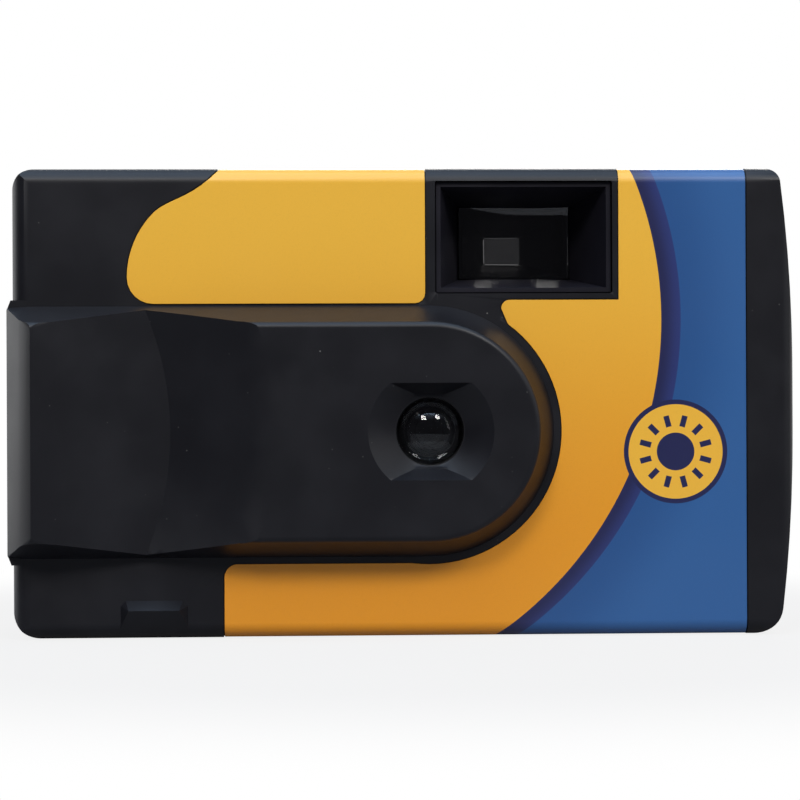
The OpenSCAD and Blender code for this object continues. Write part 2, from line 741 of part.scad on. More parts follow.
module main_frame() {
    bottom = roll_floor - frame_t;
    shelf_z = finder_z0 - finder_t - move_gap;
    color("#26282b") difference() {
        union() {
            light_box(frame_t);
            // shutter board, gate plate and the webs that join them
            block([web_l - 8, board_y, bottom], [web_r + 1.2, board_y + board_t, film_z1 - 0.5]);
            block([web_l, gate_y - 1.4, bottom], [web_r + 1.2, gate_y, roll_ceiling]);
            block([web_l, board_y, bottom], [web_l + 1.2, gate_y, ceiling_z]);
            block([web_r, board_y, bottom], [web_r + 1.2, gate_y, shelf_z]);
            block([web_l, board_y, bottom], [web_r + 1.2, gate_y, bottom + frame_t]);
            // deck of the works, and the lower shelf under the finder
            block([web_l, board_y, deck_z - 1.6], [works_x1, gate_y, deck_z]);
            block([works_x1 - 1.2, board_y, shelf_z - frame_t], [works_x1, gate_y - 1, deck_z]);
            block([works_x1 - 1, board_y, shelf_z - frame_t], [web_r + 1.2, gate_y - 1, shelf_z]);
            // lower bearing of the sprocket
            block([web_l, shaft_y - 4, sprocket_z - 2.2], [shaft_x + 4, gate_y - 0.5, sprocket_z - 0.5]);
            // cartridge chamber
            rod_z(cart_x, cart_y, floor_z, ceiling_z, chamber_r + chamber_t);
            // roll chamber
            rod_z(roll_x, roll_y, roll_floor - frame_t, roll_ceiling + frame_t, roll_chamber_r + roll_wall);
            // posts for the levers and the keeper
            rod_z(meter_x, meter_y, deck_z - 0.5, keeper_z + 0.6, post_r);
            rod_z(strike_x, strike_y, deck_z - 0.5, keeper_z + 0.6, post_r);
            rod_z(pawl_x, pawl_y, deck_z - 0.5, pawl_z + pawl_t + 0.6, post_r);
            rod_z(pawl_x, pawl_y, deck_z - 0.5, pawl_z - 0.25, 2);
            rod_z(meter_x, meter_y, deck_z - 0.5, lever_z - 0.25, 2);
            for (p = keeper_posts()) {
                rod_z(p.x, p.y, deck_z - 0.5, keeper_z, 1.4);
                rod_z(p.x, p.y, deck_z - 0.5, keeper_z + 0.9, 0.8);
            }
            rod_y(blade_x, blade_z, plate_y0 - plate_t / 2, board_y + 0.5, 0.8);
            rod_y(blade_x - 6, blade_z + 5.5, plate_y0, board_y + 0.5, 0.6);
        }
        light_box(0);
        finder_shape(move_gap);
        rod_y(lens_x, lens_z, board_y - 1, board_y + board_t + 3, 3);
        // inside of the cartridge chamber, open at the back
        rod_z(cart_x, cart_y, floor_z + frame_t, ceiling_z - frame_t, chamber_r);
        block([cart_x - 20, cart_y + 5, floor_z - 1], [web_l, y_back, ceiling_z + 1]);
        rod_z(cart_x, cart_y, floor_z - 1, ceiling_z + 1, 3);
        // inside of the roll chamber, open at the back
        rod_z(roll_x, roll_y, roll_floor, roll_ceiling, roll_chamber_r);
        block([web_r + 1.2, roll_y + 5, floor_z], [roll_x + 20, y_back, body_h]);
        rod_z(roll_x, roll_y, floor_z, body_h, 2 + run_gap);
        // sprocket pocket, slot to the film, and bearings
        rod_z(shaft_x, shaft_y, sprocket_z - 0.5, sprocket_z + 1.9, sprocket_r + move_gap);
        block([shaft_x - 5, gate_y - 3, sprocket_z - 0.5], [shaft_x + 5, gate_y + 1, sprocket_z + 1.9]);
        rod_z(shaft_x, shaft_y, sprocket_z - 5, sprocket_z, 1.1 + run_gap);
        rod_z(shaft_x, shaft_y, deck_z - 3, deck_z + 1, shaft_r + run_gap);
        // room for the blade's tab and the striker's arm
        block([blade_x - 4, board_y - 1, film_z1 - 4.5], [works_x1 - 1.2, board_y + 4, body_h]);
    }
}

// Where the keeper stands on the deck
function keeper_posts() = [
    [works_x1 - 1.7, shaft_y + 2.6], [works_x1 - 1.7, strike_y - 1.6], [meter_x - 0.8, shaft_y + 3.9]];

module lens_board() {
    pin_x = board_r - board_pin_r - 0.3;
    color("#1d1e20") difference() {
        union() {
            rod_y(lens_x, lens_z, plate_y1, plate_y0, board_r);
            rod_y(lens_x, lens_z, cup_y, plate_y0 - 0.2, 6.2);
            for (a = [40, -40, -140])
                translate([pin_x * cos(a), 0, pin_x * sin(a)])
                    rod_y(lens_x, lens_z, plate_y0 - 0.4, board_y - 0.1, board_pin_r);
        }
        rod_y(lens_x, lens_z, cup_y - 1, plate_y1 - 0.2, 5);
        rod_y(lens_x, lens_z, plate_y1 - 1, plate_y0 + 1, 2.6);
        rod_y(blade_x, blade_z, plate_y1 - 1, plate_y0 + 1, 0.8 + seat_gap);
    }
}

module aperture_plate() {
    color("#6d6f73") difference() {
        rod_y(lens_x, lens_z, plate_y1 - 0.5, plate_y1 - 0.25, 4.9);
        rod_y(lens_x, lens_z, plate_y1 - 1, plate_y1, 1.4);
    }
}

module taking_lens() {
    dome_r = (lens_r * lens_r + dome_h * dome_h) / (2 * dome_h);
    color("#b9c4cc") difference() {
        union() {
            rod_y(lens_x, lens_z, cup_y + 0.05, cup_y + 1.25, 4.9);
            intersection() {
                translate([lens_x, cup_y + 0.05 - dome_h + dome_r, lens_z]) sphere(dome_r, $fn = 96);
                rod_y(lens_x, lens_z, cup_y - 4, cup_y + 0.3, 6);
            }
        }
        translate([lens_x, cup_y + 1.25 + 8, lens_z]) sphere(8.5, $fn = 96);
    }
}

module lens_retainer() {
    color("#1a1b1d") difference() {
        rod_y(lens_x, lens_z, ring_y0, cup_y - 0.02, 6.2);
        rod_y(lens_x, lens_z, ring_y0 - 1, cup_y + 1, lens_r + 0.12);
    }
}

// The blade that covers the opening, with a tab folded back for the striker
module shutter_blade() {
    y1 = blade_y0;
    y0 = blade_y0 - blade_t;
    reach = [lens_x - blade_x, lens_z - blade_z];
    color("#8b8e93") difference() {
        union() {
            rod_y(blade_x, blade_z, y0, y1, 1.9);
            rod_y(lens_x, lens_z, y0, y1, shutter_r + 1.3);
            translate([blade_x, y1, blade_z]) rotate([90, 0, 0]) rotate([0, 0, atan2(reach.y, reach.x)])
                linear_extrude(blade_t) translate([0, -1.2]) square([norm(reach), 2.4]);
            block([blade_x - 0.9, y0, blade_z], [blade_x + 0.9, y1, blade_tab_z]);
            block([blade_x - 0.15, y0, deck_z - 1], [blade_x + 0.15, y1 + 2.8, blade_tab_z]);
        }
        rod_y(blade_x, blade_z, y0 - 1, y1 + 1, 0.8 + run_gap);
    }
}

// A hairpin that pulls the blade shut
module blade_spring() {
    y = blade_y0 - blade_t / 2;
    color("#b8bbc0") wire([
        [blade_x - 6.9, y, blade_z + 10], [blade_x - 6.9, y, blade_z + 5], [blade_x - 6.4, y, blade_z + 4.5],
        [blade_x - 5.6, y, blade_z + 4.5], [blade_x - 1.2, y, blade_z + 6]], 0.15);
}

module striker_lever() {
    p = [strike_x, strike_y];
    pin = p + [-3.8, -1.4];
    color("#3c3f44") difference() {
        union() {
            rod_z(p.x, p.y, strike_z, strike_z + strike_t, 2.3);
            bar(p, [blade_x - 1.6, strike_arm_y], strike_z, strike_z + strike_t, 1.4);
            bar(p, pin, strike_z, strike_z + strike_t, 1.8);
            rod_z(pin.x, pin.y, strike_z, lever_z + lever_t - 0.3, 0.6);
        }
        rod_z(p.x, p.y, strike_z - 1, strike_z + 9, post_r + run_gap);
    }
}

// A wound spring on the striker's post
module striker_spring() {
    z0 = strike_z + strike_t + 0.4;
    color("#b8bbc0") wire(coil(strike_x, strike_y, z0, lever_z - 0.5, post_r + 0.55, 2.5), 0.2);
}

module metering_lever() {
    p = [meter_x, meter_y];
    z0 = lever_z;
    z1 = lever_z + lever_t;
    color("#3c3f44") difference() {
        union() {
            rod_z(p.x, p.y, z0, z1, 2);
            bar(p, p + [1.7, 3.6], z0, z1, 1);
            bar(p, p + [-2.4, -0.5], z0, z1, 1);
            bar(p, p + [2.5, -3.2], z0, z1, 1.2);
        }
        rod_z(p.x, p.y, z0 - 1, z1 + 1, post_r + run_gap);
    }
}

module keeper_plate() {
    color("#2b2d31") difference() {
        union() {
            block([meter_x - 2.2, strike_y - 3.3, keeper_z], [works_x1, shaft_y + 5.3, keeper_top]);
            rod_z(counter_x, counter_y, keeper_z, counter_z + counter_t + 0.8, 1.2);
            rod_z(counter_x, counter_y, keeper_z, counter_z - 0.2, 2.2);
        }
        rod_z(shaft_x, shaft_y, keeper_z - 1, keeper_top + 1, shaft_r + run_gap);
        rod_z(meter_x, meter_y, keeper_z - 1, keeper_top + 1, post_r + seat_gap);
        rod_z(strike_x, strike_y, keeper_z - 1, keeper_top + 1, post_r + seat_gap);
        rod_z(finger_x, finger_y, keeper_z - 1, keeper_top + 1, finger_r + run_gap);
        for (p = keeper_posts()) rod_z(p.x, p.y, keeper_z - 1, keeper_top + 1, 0.8 + seat_gap);
    }
}

// The shaft that the film turns: sprocket, metering cam and counter tooth
module sprocket_shaft() {
    z = sprocket_z;
    color("#d8d9d6") {
        difference() {
            union() {
                rod_z(shaft_x, shaft_y, z - 0.2, counter_z + counter_t, shaft_r);
                rod_z(shaft_x, shaft_y, z - 1.9, z, 1.1);
                rod_z(shaft_x, shaft_y, z, z + 1.4, sprocket_r - 1.1);
                rod_z(shaft_x, shaft_y, lever_z, lever_z + lever_t, cam_r);
                for (i = [0:7]) translate([shaft_x, shaft_y, z + 0.1]) rotate([0, 0, 45 * i + 22.5])
                    linear_extrude(1.2) polygon([[sprocket_r - 2, -0.9], [sprocket_r - 0.7, -0.8],
                        [sprocket_r - 0.02, -0.4], [sprocket_r - 0.02, 0.4], [sprocket_r - 0.7, 0.8],
                        [sprocket_r - 2, 0.9]]);
                translate([shaft_x, shaft_y, counter_z]) linear_extrude(counter_t)
                    polygon([[0, -0.7], [tooth_r - 0.1, -0.25], [tooth_r - 0.1, 0.25], [0, 0.7]]);
            }
            translate([shaft_x, shaft_y, lever_z - 1]) rotate([0, 0, 200])
                linear_extrude(lever_t + 2) polygon([[cam_r - 1.3, -0.9], [cam_r + 1, -1.2], [cam_r + 1, 1.2],
                    [cam_r - 1.3, 0.9]]);
        }
    }
}

module counter_wheel() {
    n = 2 * counter_teeth;
    color("#e9e8e2") difference() {
        union() {
            translate([counter_x, counter_y, counter_z]) linear_extrude(counter_t)
                polygon([for (i = [0:n - 1]) let (r = i % 2 == 0 ? counter_r : counter_r - 0.6)
                    r * [cos(360 * i / n), sin(360 * i / n)]]);
        }
        rod_z(counter_x, counter_y, counter_z - 1, counter_z + counter_t + 1, 1.2 + run_gap);
    }
}

module counter_window() {
    x = counter_x;
    y = counter_y - number_r;
    color("#cfd6da") {
        rod_z(x, y, in_top - 0.9, in_top - 0.1, 3.4);
        rod_z(x, y, in_top - 0.5, body_h - 0.15, 2.6 - seat_gap);
    }
}

module shutter_button() {
    color("#2a2c30") union() {
        translate([button_x, button_y, flange_z0]) linear_extrude(body_h - 0.15 - flange_z0)
            capsule(button_w, button_d);
        translate([button_x, button_y, flange_z0]) linear_extrude(flange_z1 - flange_z0)
            capsule(button_w + 2, button_d + 2);
        bar([button_x, finger_y], [finger_x, finger_y], flange_z0, flange_z1, 4.4);
        rod_z(finger_x, finger_y, keeper_z + 0.2 + button_travel - 1.2, flange_z1, finger_r);
    }
}

module button_spring() {
    color("#b8bbc0") wire(coil(finger_x, finger_y, keeper_top + spring_wire / 2 + 0.05,
        flange_z0 - spring_wire / 2 - 0.05, 1.7, 3.5), spring_wire / 2);
}

module thumbwheel() {
    n = 2 * wheel_teeth;
    color("#2a2c30") difference() {
        union() {
            translate([cart_x, cart_y, wheel_z]) linear_extrude(wheel_t)
                polygon([for (i = [0:n - 1]) let (r = i % 2 == 0 ? wheel_r : wheel_r - 0.6)
                    r * [cos(360 * i / n), sin(360 * i / n)]]);
            rod_z(cart_x, cart_y, cart_z1 - 5, wheel_z + 0.5, 2.3);
        }
        difference() {
            rod_z(cart_x, cart_y, wheel_top - 1.2, wheel_top + 1, wheel_r - 3);
            rod_z(cart_x, cart_y, wheel_top - 2, wheel_top + 2, 3.2);
        }
        block([cart_x - 0.65, cart_y - 4, cart_z1 - 6], [cart_x + 0.65, cart_y + 4, cart_z1 - 1.5]);
    }
}

module ratchet_pawl() {
    p = [pawl_x, pawl_y];
    w = [cart_x, cart_y] + (wheel_r + 0.35 + 0.5) * [cos(-47), sin(-47)];
    color("#3c3f44") difference() {
        union() {
            rod_z(p.x, p.y, pawl_z, pawl_z + pawl_t, 2);
            bar(p, w, pawl_z, pawl_z + pawl_t, 1);
        }
        rod_z(p.x, p.y, pawl_z - 1, pawl_z + pawl_t + 1, post_r + run_gap);
    }
}

// The cartridge's sheet metal, with the lips the film leaves between
module cartridge_shell() {
    z0 = cart_z0 + cap_t;
    z1 = cart_z1 - cap_t;
    lip = cart_x + 10.4;
    color("#c9a33a") difference() {
        union() {
            difference() {
                rod_z(cart_x, cart_y, z0, z1, cart_r - 0.15);
                rod_z(cart_x, cart_y, z0 - 1, z1 + 1, cart_r - 0.45);
            }
            block([cart_x + 5.4, film_y - 0.85, z0 + 0.5], [lip, film_y - 0.55, z1 - 0.5]);
            block([cart_x + 1, film_y + film_t + 0.45, z0 + 0.5], [lip, film_y + film_t + 0.65, z1 - 0.5]);
        }
        block([cart_x + 2, film_y - 0.55, film_z0 - 0.5], [lip + 1, film_y + film_t + 0.45, film_z1 + 0.5]);
    }
}

module cartridge_caps() {
    color("#1f1f21") {
        difference() {
            rod_z(cart_x, cart_y, cart_z1 - cap_t, cart_z1, cart_r);
            rod_z(cart_x, cart_y, cart_z1 - 3, cart_z1 + 1, 4.1);
        }
        difference() {
            rod_z(cart_x, cart_y, cart_z0, cart_z0 + cap_t, cart_r);
            rod_z(cart_x, cart_y, cart_z0 - 1, cart_z0 + 3, 3);
        }
    }
}

module cartridge_spool() {
    color("#1b1b1d") difference() {
        union() {
            rod_z(cart_x, cart_y, cart_z0 + 1.2, cart_z1 - 1.2, spool_r);
            rod_z(cart_x, cart_y, cart_z0 - 1.6, cart_z1 - 1, 2.8);
            rod_z(cart_x, cart_y, cart_z1 - 2, cart_z1 - 0.1, 4);
            rod_z(cart_x, cart_y, cart_z0 + 1.2, cart_z0 + 2.2, cart_r - 1.4);
            rod_z(cart_x, cart_y, cart_z1 - 2.2, cart_z1 - 1.2, cart_r - 1.4);
        }
        difference() {
            rod_z(cart_x, cart_y, cart_z1 - 7, cart_z1 + 1, 2.45);
            block([cart_x - 0.5, cart_y - 3, cart_z1 - 8], [cart_x + 0.5, cart_y + 3, cart_z1 - 2.5]);
        }
    }
}

module cartridge_felt() {
    lip = cart_x + 10.3;
    color("#141415") {
        block([lip - 4, film_y - 0.54, film_z0], [lip, film_y - 0.1, film_z1]);
        block([lip - 4, film_y + film_t + 0.1, film_z0], [lip, film_y + film_t + 0.44, film_z1]);
    }
}

module film_strip() {
    pitch = 4.75;
    x0 = cart_x + 5.4;
    n = floor((roll_x - x0 - 4) / pitch);
    color("#5b3a2a") difference() {
        block([x0, film_y, film_z0], [roll_x, film_y + film_t, film_z1]);
        for (i = [0:n], s = [-1, 1])
            translate([x0 + 2 + i * pitch, film_y - 1, lens_z + s * (film_w / 2 - hole_in) - 1.4])
                cube([2, 3, 2.8]);
    }
}

module film_roll() {
    color("#4a3024") difference() {
        rod_z(roll_x, roll_y, film_z0, film_z1, roll_r);
        rod_z(roll_x, roll_y, film_z0 - 1, film_z1 + 1, core_r + 0.03);
    }
}

module supply_spool() {
    color("#1b1b1d") {
        rod_z(roll_x, roll_y, roll_floor + 0.3, roll_ceiling - 0.3, core_r);
        rod_z(roll_x, roll_y, roll_floor - frame_t, roll_ceiling + frame_t, 2);
    }
}

// Outside of the finder's tube: it narrows to the front lens, then to the eyepiece
module finder_shape(grow = 0) {
    g = [grow, grow];
    s = [finder_t, finder_t] + g;
    a0 = [finder_x0 + seat_gap, finder_z0 + seat_gap] - g;
    a1 = [finder_x0 + finder_w - seat_gap, finder_z0 + finder_h - seat_gap] + g;
    w = [window_w, window_h] / 2;
    e = [eye_w, eye_h] / 2;
    c = [window_x, window_z];
    frustum(a0, a1, y_front + 0.6, c - w - s, c + w + s, window_y + 1);
    eye = [eye_x, eye_z];
    frustum(c - w - s, c + w + s, window_y + 0.9, eye - e - s, eye + e + s, in_back - 0.2);
}

module finder_housing() {
    s = [finder_t, finder_t];
    a0 = [finder_x0 + seat_gap, finder_z0 + seat_gap] + s * 0.7;
    a1 = [finder_x0 + finder_w - seat_gap, finder_z0 + finder_h - seat_gap] - s * 0.7;
    w = [window_w, window_h] / 2;
    e = [eye_w, eye_h] / 2;
    c = [window_x, window_z];
    eye = [eye_x, eye_z];
    color("#17181a") difference() {
        finder_shape();
        frustum(a0, a1, y_front + 0.5, c - w, c + w, window_y);
        frustum(c - w, c + w, window_y - 0.01, c - w, c + w, window_y + 1.6);
        frustum(c - w + s * 0.4, c + w - s * 0.4, window_y + 1.5,
            eye - e - s * 0.1, eye + e + s * 0.1, in_back + 0.1);
    }
}

module finder_front_lens() {
    w = [window_w, window_h] / 2 - [seat_gap, seat_gap] / 2;
    y1 = window_y + 1.5;
    y0 = y1 - front_lens_t;
    color("#c3ccd2") difference() {
        block([window_x - w.x, y0, window_z - w.y], [window_x + w.x, y1, window_z + w.y]);
        translate([window_x, y0 + front_lens_dish - front_lens_r, window_z]) sphere(front_lens_r, $fn = 180);
    }
}

module finder_eyepiece() {
    e = [eye_w, eye_h] / 2 - [0.05, 0.05];
    color("#c3ccd2") intersection() {
        block([eye_x - e.x, in_back - 1.6, eye_z - e.y], [eye_x + e.x, in_back + 0.5, eye_z + e.y]);
        translate([eye_x, in_back + 0.4 - eye_lens_r, eye_z]) sphere(eye_lens_r, $fn = 96);
    }
}

front_cover();
rear_cover();
wrap_label();
cartridge_door();
main_frame();
lens_board();
aperture_plate();
taking_lens();
lens_retainer();
shutter_blade();
blade_spring();
striker_lever();
striker_spring();
metering_lever();
keeper_plate();
sprocket_shaft();
counter_wheel();
counter_window();
shutter_button();
button_spring();
thumbwheel();
ratchet_pawl();
cartridge_shell();
cartridge_caps();
cartridge_spool();
cartridge_felt();
film_strip();
film_roll();
supply_spool();
finder_housing();
finder_front_lens();
finder_eyepiece();
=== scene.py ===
"""Finishes and fine forms of a single-use film camera, dressed on its CAD frame.

Metres, +Z up, front to -Y.
"""
import collections
import json
import math

import bmesh
import bpy
from mathutils import Matrix, Vector


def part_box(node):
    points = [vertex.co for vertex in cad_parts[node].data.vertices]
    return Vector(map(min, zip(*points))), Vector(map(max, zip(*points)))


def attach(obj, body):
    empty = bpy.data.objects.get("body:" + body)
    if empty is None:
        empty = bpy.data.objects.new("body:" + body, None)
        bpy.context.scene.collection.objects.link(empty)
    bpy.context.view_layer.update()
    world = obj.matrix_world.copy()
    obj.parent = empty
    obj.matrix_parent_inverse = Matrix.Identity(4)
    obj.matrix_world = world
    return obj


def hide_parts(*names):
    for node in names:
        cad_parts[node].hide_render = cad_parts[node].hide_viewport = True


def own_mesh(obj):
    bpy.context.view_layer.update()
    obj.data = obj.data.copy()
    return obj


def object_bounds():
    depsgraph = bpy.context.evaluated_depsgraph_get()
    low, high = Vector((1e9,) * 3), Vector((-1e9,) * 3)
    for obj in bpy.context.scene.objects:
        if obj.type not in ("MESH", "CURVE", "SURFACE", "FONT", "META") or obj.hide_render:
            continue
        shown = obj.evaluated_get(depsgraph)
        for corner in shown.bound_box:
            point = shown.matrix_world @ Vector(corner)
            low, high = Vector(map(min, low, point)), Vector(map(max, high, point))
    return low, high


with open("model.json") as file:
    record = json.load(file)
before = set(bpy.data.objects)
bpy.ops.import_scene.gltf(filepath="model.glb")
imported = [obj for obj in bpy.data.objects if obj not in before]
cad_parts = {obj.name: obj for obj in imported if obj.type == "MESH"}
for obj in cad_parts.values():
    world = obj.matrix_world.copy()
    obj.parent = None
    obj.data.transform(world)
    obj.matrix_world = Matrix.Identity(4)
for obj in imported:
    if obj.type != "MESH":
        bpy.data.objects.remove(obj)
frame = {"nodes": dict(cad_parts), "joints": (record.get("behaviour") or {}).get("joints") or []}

CAD_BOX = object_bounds()
MM = 0.001
WHITE = (1.0, 1.0, 1.0, 1.0)

bl_info = {
    "name": "Film camera finishes",
    "version": (1, 0, 0),
    "blender": (4, 5, 0),
    "location": "View3D > Sidebar > Camera",
    "description": "Covers, label, optics, controls and studio of a single-use film camera",
    "category": "Object",
}


def middle(node):
    """Centre of a CAD node's box."""
    low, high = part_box(node)
    return (low + high) / 2


LENS = middle("taking_lens")
FRONT_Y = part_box("wrap_label")[0].y
BACK_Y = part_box("wrap_label")[1].y
TOP_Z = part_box("wrap_label")[1].z


def linear(red, green, blue):
    """A colour written in 0 to 255, taken off the sRGB curve as a shader needs it."""
    shares = (part / 255 for part in (red, green, blue))
    curve = (part / 12.92 if part <= 0.04045 else ((part + 0.055) / 1.055) ** 2.4 for part in shares)
    return (*curve, 1.0)


def scaled(tone, times, plus=0.0):
    """A colour made paler or darker."""
    return (*(min(1.0, part * times + plus) for part in tone[:3]), 1.0)


def length(name, description, default):
    """A setting in metres."""
    return bpy.props.FloatProperty(
        name=name, description=description, default=default, unit="LENGTH", precision=5
    )


def angle(name, description, degrees):
    """A setting that turns something."""
    return bpy.props.FloatProperty(
        name=name, description=description, default=math.radians(degrees), subtype="ANGLE"
    )


def power(name, description, default):
    """A lamp's setting in watts."""
    return bpy.props.FloatProperty(name=name, description=description, default=default, unit="POWER")


def ratio(name, description, default):
    """A setting without a unit."""
    return bpy.props.FloatProperty(name=name, description=description, default=default)


def count(name, description, default):
    """A setting in whole numbers."""
    return bpy.props.IntProperty(name=name, description=description, default=default)


def colour(name, description, default):
    """A colour setting."""
    return bpy.props.FloatVectorProperty(
        name=name, description=description, default=default, size=4, subtype="COLOR", min=0.0, max=1.0
    )


def point(name, description, default):
    """A setting of two lengths."""
    return bpy.props.FloatVectorProperty(
        name=name, description=description, default=default, size=2, subtype="XYZ", unit="LENGTH",
        precision=5,
    )


class CoverSettings(bpy.types.PropertyGroup):
    """The black moulded covers."""

    plastic: colour("Plastic", "Colour of the moulded covers", linear(15, 15, 20))
    edge: length("Edge rounding", "Width of the rounding on the covers' edges", 0.16 * MM)
    button_edge: length("Button rounding", "Width of the rounding on the button", 0.3 * MM)
    wheel_edge: length("Wheel rounding", "Width of the rounding on the wheel", 0.12 * MM)
    catch_edge: length("Catch rounding", "Width of the rounding on the door's catch", 0.5 * MM)


class LabelSettings(bpy.types.PropertyGroup):
    """The printed wrap."""

    yellow: colour("Yellow", "Upper part of the print's main field", linear(234, 178, 58))
    # painted shade: the main field turns darker and more orange towards its foot, standing in for light
    # that falls from above
    amber: colour("Amber", "Foot of the print's main field", linear(225, 147, 30))
    amber_rise: point(
        "Amber rise", "Heights between which the amber turns to yellow", (10.0 * MM, 56.0 * MM)
    )
    blue: colour("Blue", "Field at the end of the print", linear(44, 91, 147))
    deep_blue: colour("Deep blue", "The blue field by the band", linear(35, 79, 134))
    navy: colour("Dark blue", "The band by the yellow, and the daylight mark", linear(30, 34, 76))
    deep: colour("Band blue", "The band where it meets the blue", linear(40, 52, 108))
    cream: colour("Cream", "Bare panels on the back", linear(240, 226, 190))
    paper: colour("Paper", "Bare paper along the cut edge", linear(232, 204, 138))
    cut: length("Cut edge", "Width of the bare paper along the cut edge", 0.13 * MM)
    band_start: point(
        "Band start", "Middle of the arc where the yellow ends, in X and Z",
        (LENS.x - 19.16 * MM, 40.85 * MM),
    )
    band_start_r: length("Band start radius", "Radius of that arc", 49.27 * MM)
    band_end: point(
        "Band end", "Middle of the arc where the blue starts, in X and Z",
        (LENS.x - 17.26 * MM, 40.95 * MM),
    )
    band_end_r: length("Band end radius", "Radius of that arc", 49.89 * MM)
    sun: point(
        "Daylight mark", "Middle of the round daylight mark, in X and Z", (LENS.x + 31.9 * MM, 23.7 * MM)
    )
    sun_r: length("Daylight mark radius", "Radius of the mark's disc", 6.1 * MM)
    sun_rays: count("Rays", "Bars round the mark's sun", 12)


class OpticsSettings(bpy.types.PropertyGroup):
    """The lens and the finder."""

    clear: colour("Clear plastic", "Tint of the moulded lenses", (0.93, 0.96, 0.97, 1.0))
    index: ratio("Index", "Refractive index of the coated lens", 1.4)
    finder_black: colour("Finder", "Colour of the finder's tube", linear(23, 22, 29))
    # painted shade: the finder's lenses pass only about a seventh of the light, darkening the view
    # through the finder where real lenses are clear
    finder_clear: colour("Finder lenses", "Tint of the finder's two lenses", (0.14, 0.14, 0.143, 1.0))
    finder_index: ratio("Finder index", "Refractive index of the finder's lenses", 1.58)
    finder_edge: length("Finder rounding", "Width of the rounding on the finder's tube", 0.15 * MM)


class CounterSettings(bpy.types.PropertyGroup):
    """The numbers on the counter's dial."""

    frames: count("Frames", "Highest number on the dial", 27)
    every: count("Numbered", "Every so many frames have a number, the others a dot", 3)
    step: angle("Step", "Turn of the dial from one frame to the next", 9.0)
    number_h: length("Number height", "Height of the numbers", 1.9 * MM)
    dot_r: length("Dot radius", "Radius of the dots between the numbers", 0.17 * MM)
    ink: length("Ink", "How far the numbers stand out of the dial", 0.03 * MM)


class StageSettings(bpy.types.PropertyGroup):
    """Camera, floor and lamps."""

    azimuth: angle("Azimuth", "Camera's turn to the side of the lens axis", -2.2)
    roll: angle("Roll", "Camera's turn about its own axis", -0.25)
    target: point(
        "Target", "Point of the front face in the middle of the picture, in X and Z",
        (LENS.x - 3.71 * MM, 30.5 * MM),
    )
    distance: length("Distance", "Camera's distance from the front face", 340 * MM)
    view_width: length("View width", "Width of the picture at the front face", 102.96 * MM)
    floor: colour("Floor", "Colour of the floor", linear(150, 150, 153))
    mottle: colour("Mottle", "Colour of the floor's faint clouds", linear(140, 140, 144))
    floor_r: length("Floor radius", "Radius of the round floor", 180 * MM)
    fade: point("Floor fade", "Distances between which the floor fades to white", (70 * MM, 140 * MM))
    pale: ratio("Pale", "Share of white in the floor by the object, the rest shows its shadow", 0.84)
    soft: colour("Soft light", "Even light from above", (0.2, 0.2, 0.21, 1.0))
    under: colour("Light from below", "Even light from under the horizon", (0.06, 0.06, 0.06, 1.0))
    dim: colour("Dark side", "What glossy surfaces show of the room in front", (0.05, 0.05, 0.06, 1.0))
    overcast: colour("Ceiling", "What glossy surfaces show of the room above", (0.62, 0.78, 1.0, 1.0))
    key_power: power("Key", "Power of each front lamp", 3.8)
    top_power: power("Top", "Power of the overhead lamp", 1.5)
    back_power: power("Back", "Power of the lamp behind", 2.8)
    rim_power: power("Rim", "Power of the lamp at each side", 0.7)


class Value:
    """A number or colour that changes over a surface. Arithmetic on it adds Math nodes."""

    def __init__(self, finish, socket):
        self.finish, self.socket = finish, socket

    def math(self, operation, *others):
        """A Math node with this value first."""
        return self.finish.node("ShaderNodeMath", {"operation": operation}, [self, *others])

    def after(self, operation, first):
        """A Math node with this value second."""
        return self.finish.node("ShaderNodeMath", {"operation": operation}, [first, self])

    def __add__(self, other):
        return self.math("ADD", other)

    def __radd__(self, other):
        return self.after("ADD", other)

    def __sub__(self, other):
        return self.math("SUBTRACT", other)

    def __rsub__(self, other):
        return self.after("SUBTRACT", other)

    def __mul__(self, other):
        return self.math("MULTIPLY", other)

    def __rmul__(self, other):
        return self.after("MULTIPLY", other)

    def __pow__(self, other):
        return self.math("POWER", other)

    def __abs__(self):
        return self.math("ABSOLUTE")

    def least(self, other):
        """The lesser of two values."""
        return self.math("MINIMUM", other)

    def most(self, other):
        """The greater of two values."""
        return self.math("MAXIMUM", other)

    def about(self, amount):
        """Noise from 0 to 1, as a swing to both sides of nothing."""
        return (self - 0.5) * amount

    def rise(self, low, high):
        """0 below low, 1 above high, and smooth between."""
        return self.finish.node(
            "ShaderNodeMapRange", {"interpolation_type": "SMOOTHSTEP"},
            {"Value": self, "From Min": low, "From Max": high},
        )

    def under(self, edge, soft=0.02):
        """1 where the value is below an edge."""
        return 1 - self.rise(edge - soft, edge + soft)


def hypot(a, b):
    """Distance from the origin of a plane."""
    return (a * a + b * b) ** 0.5


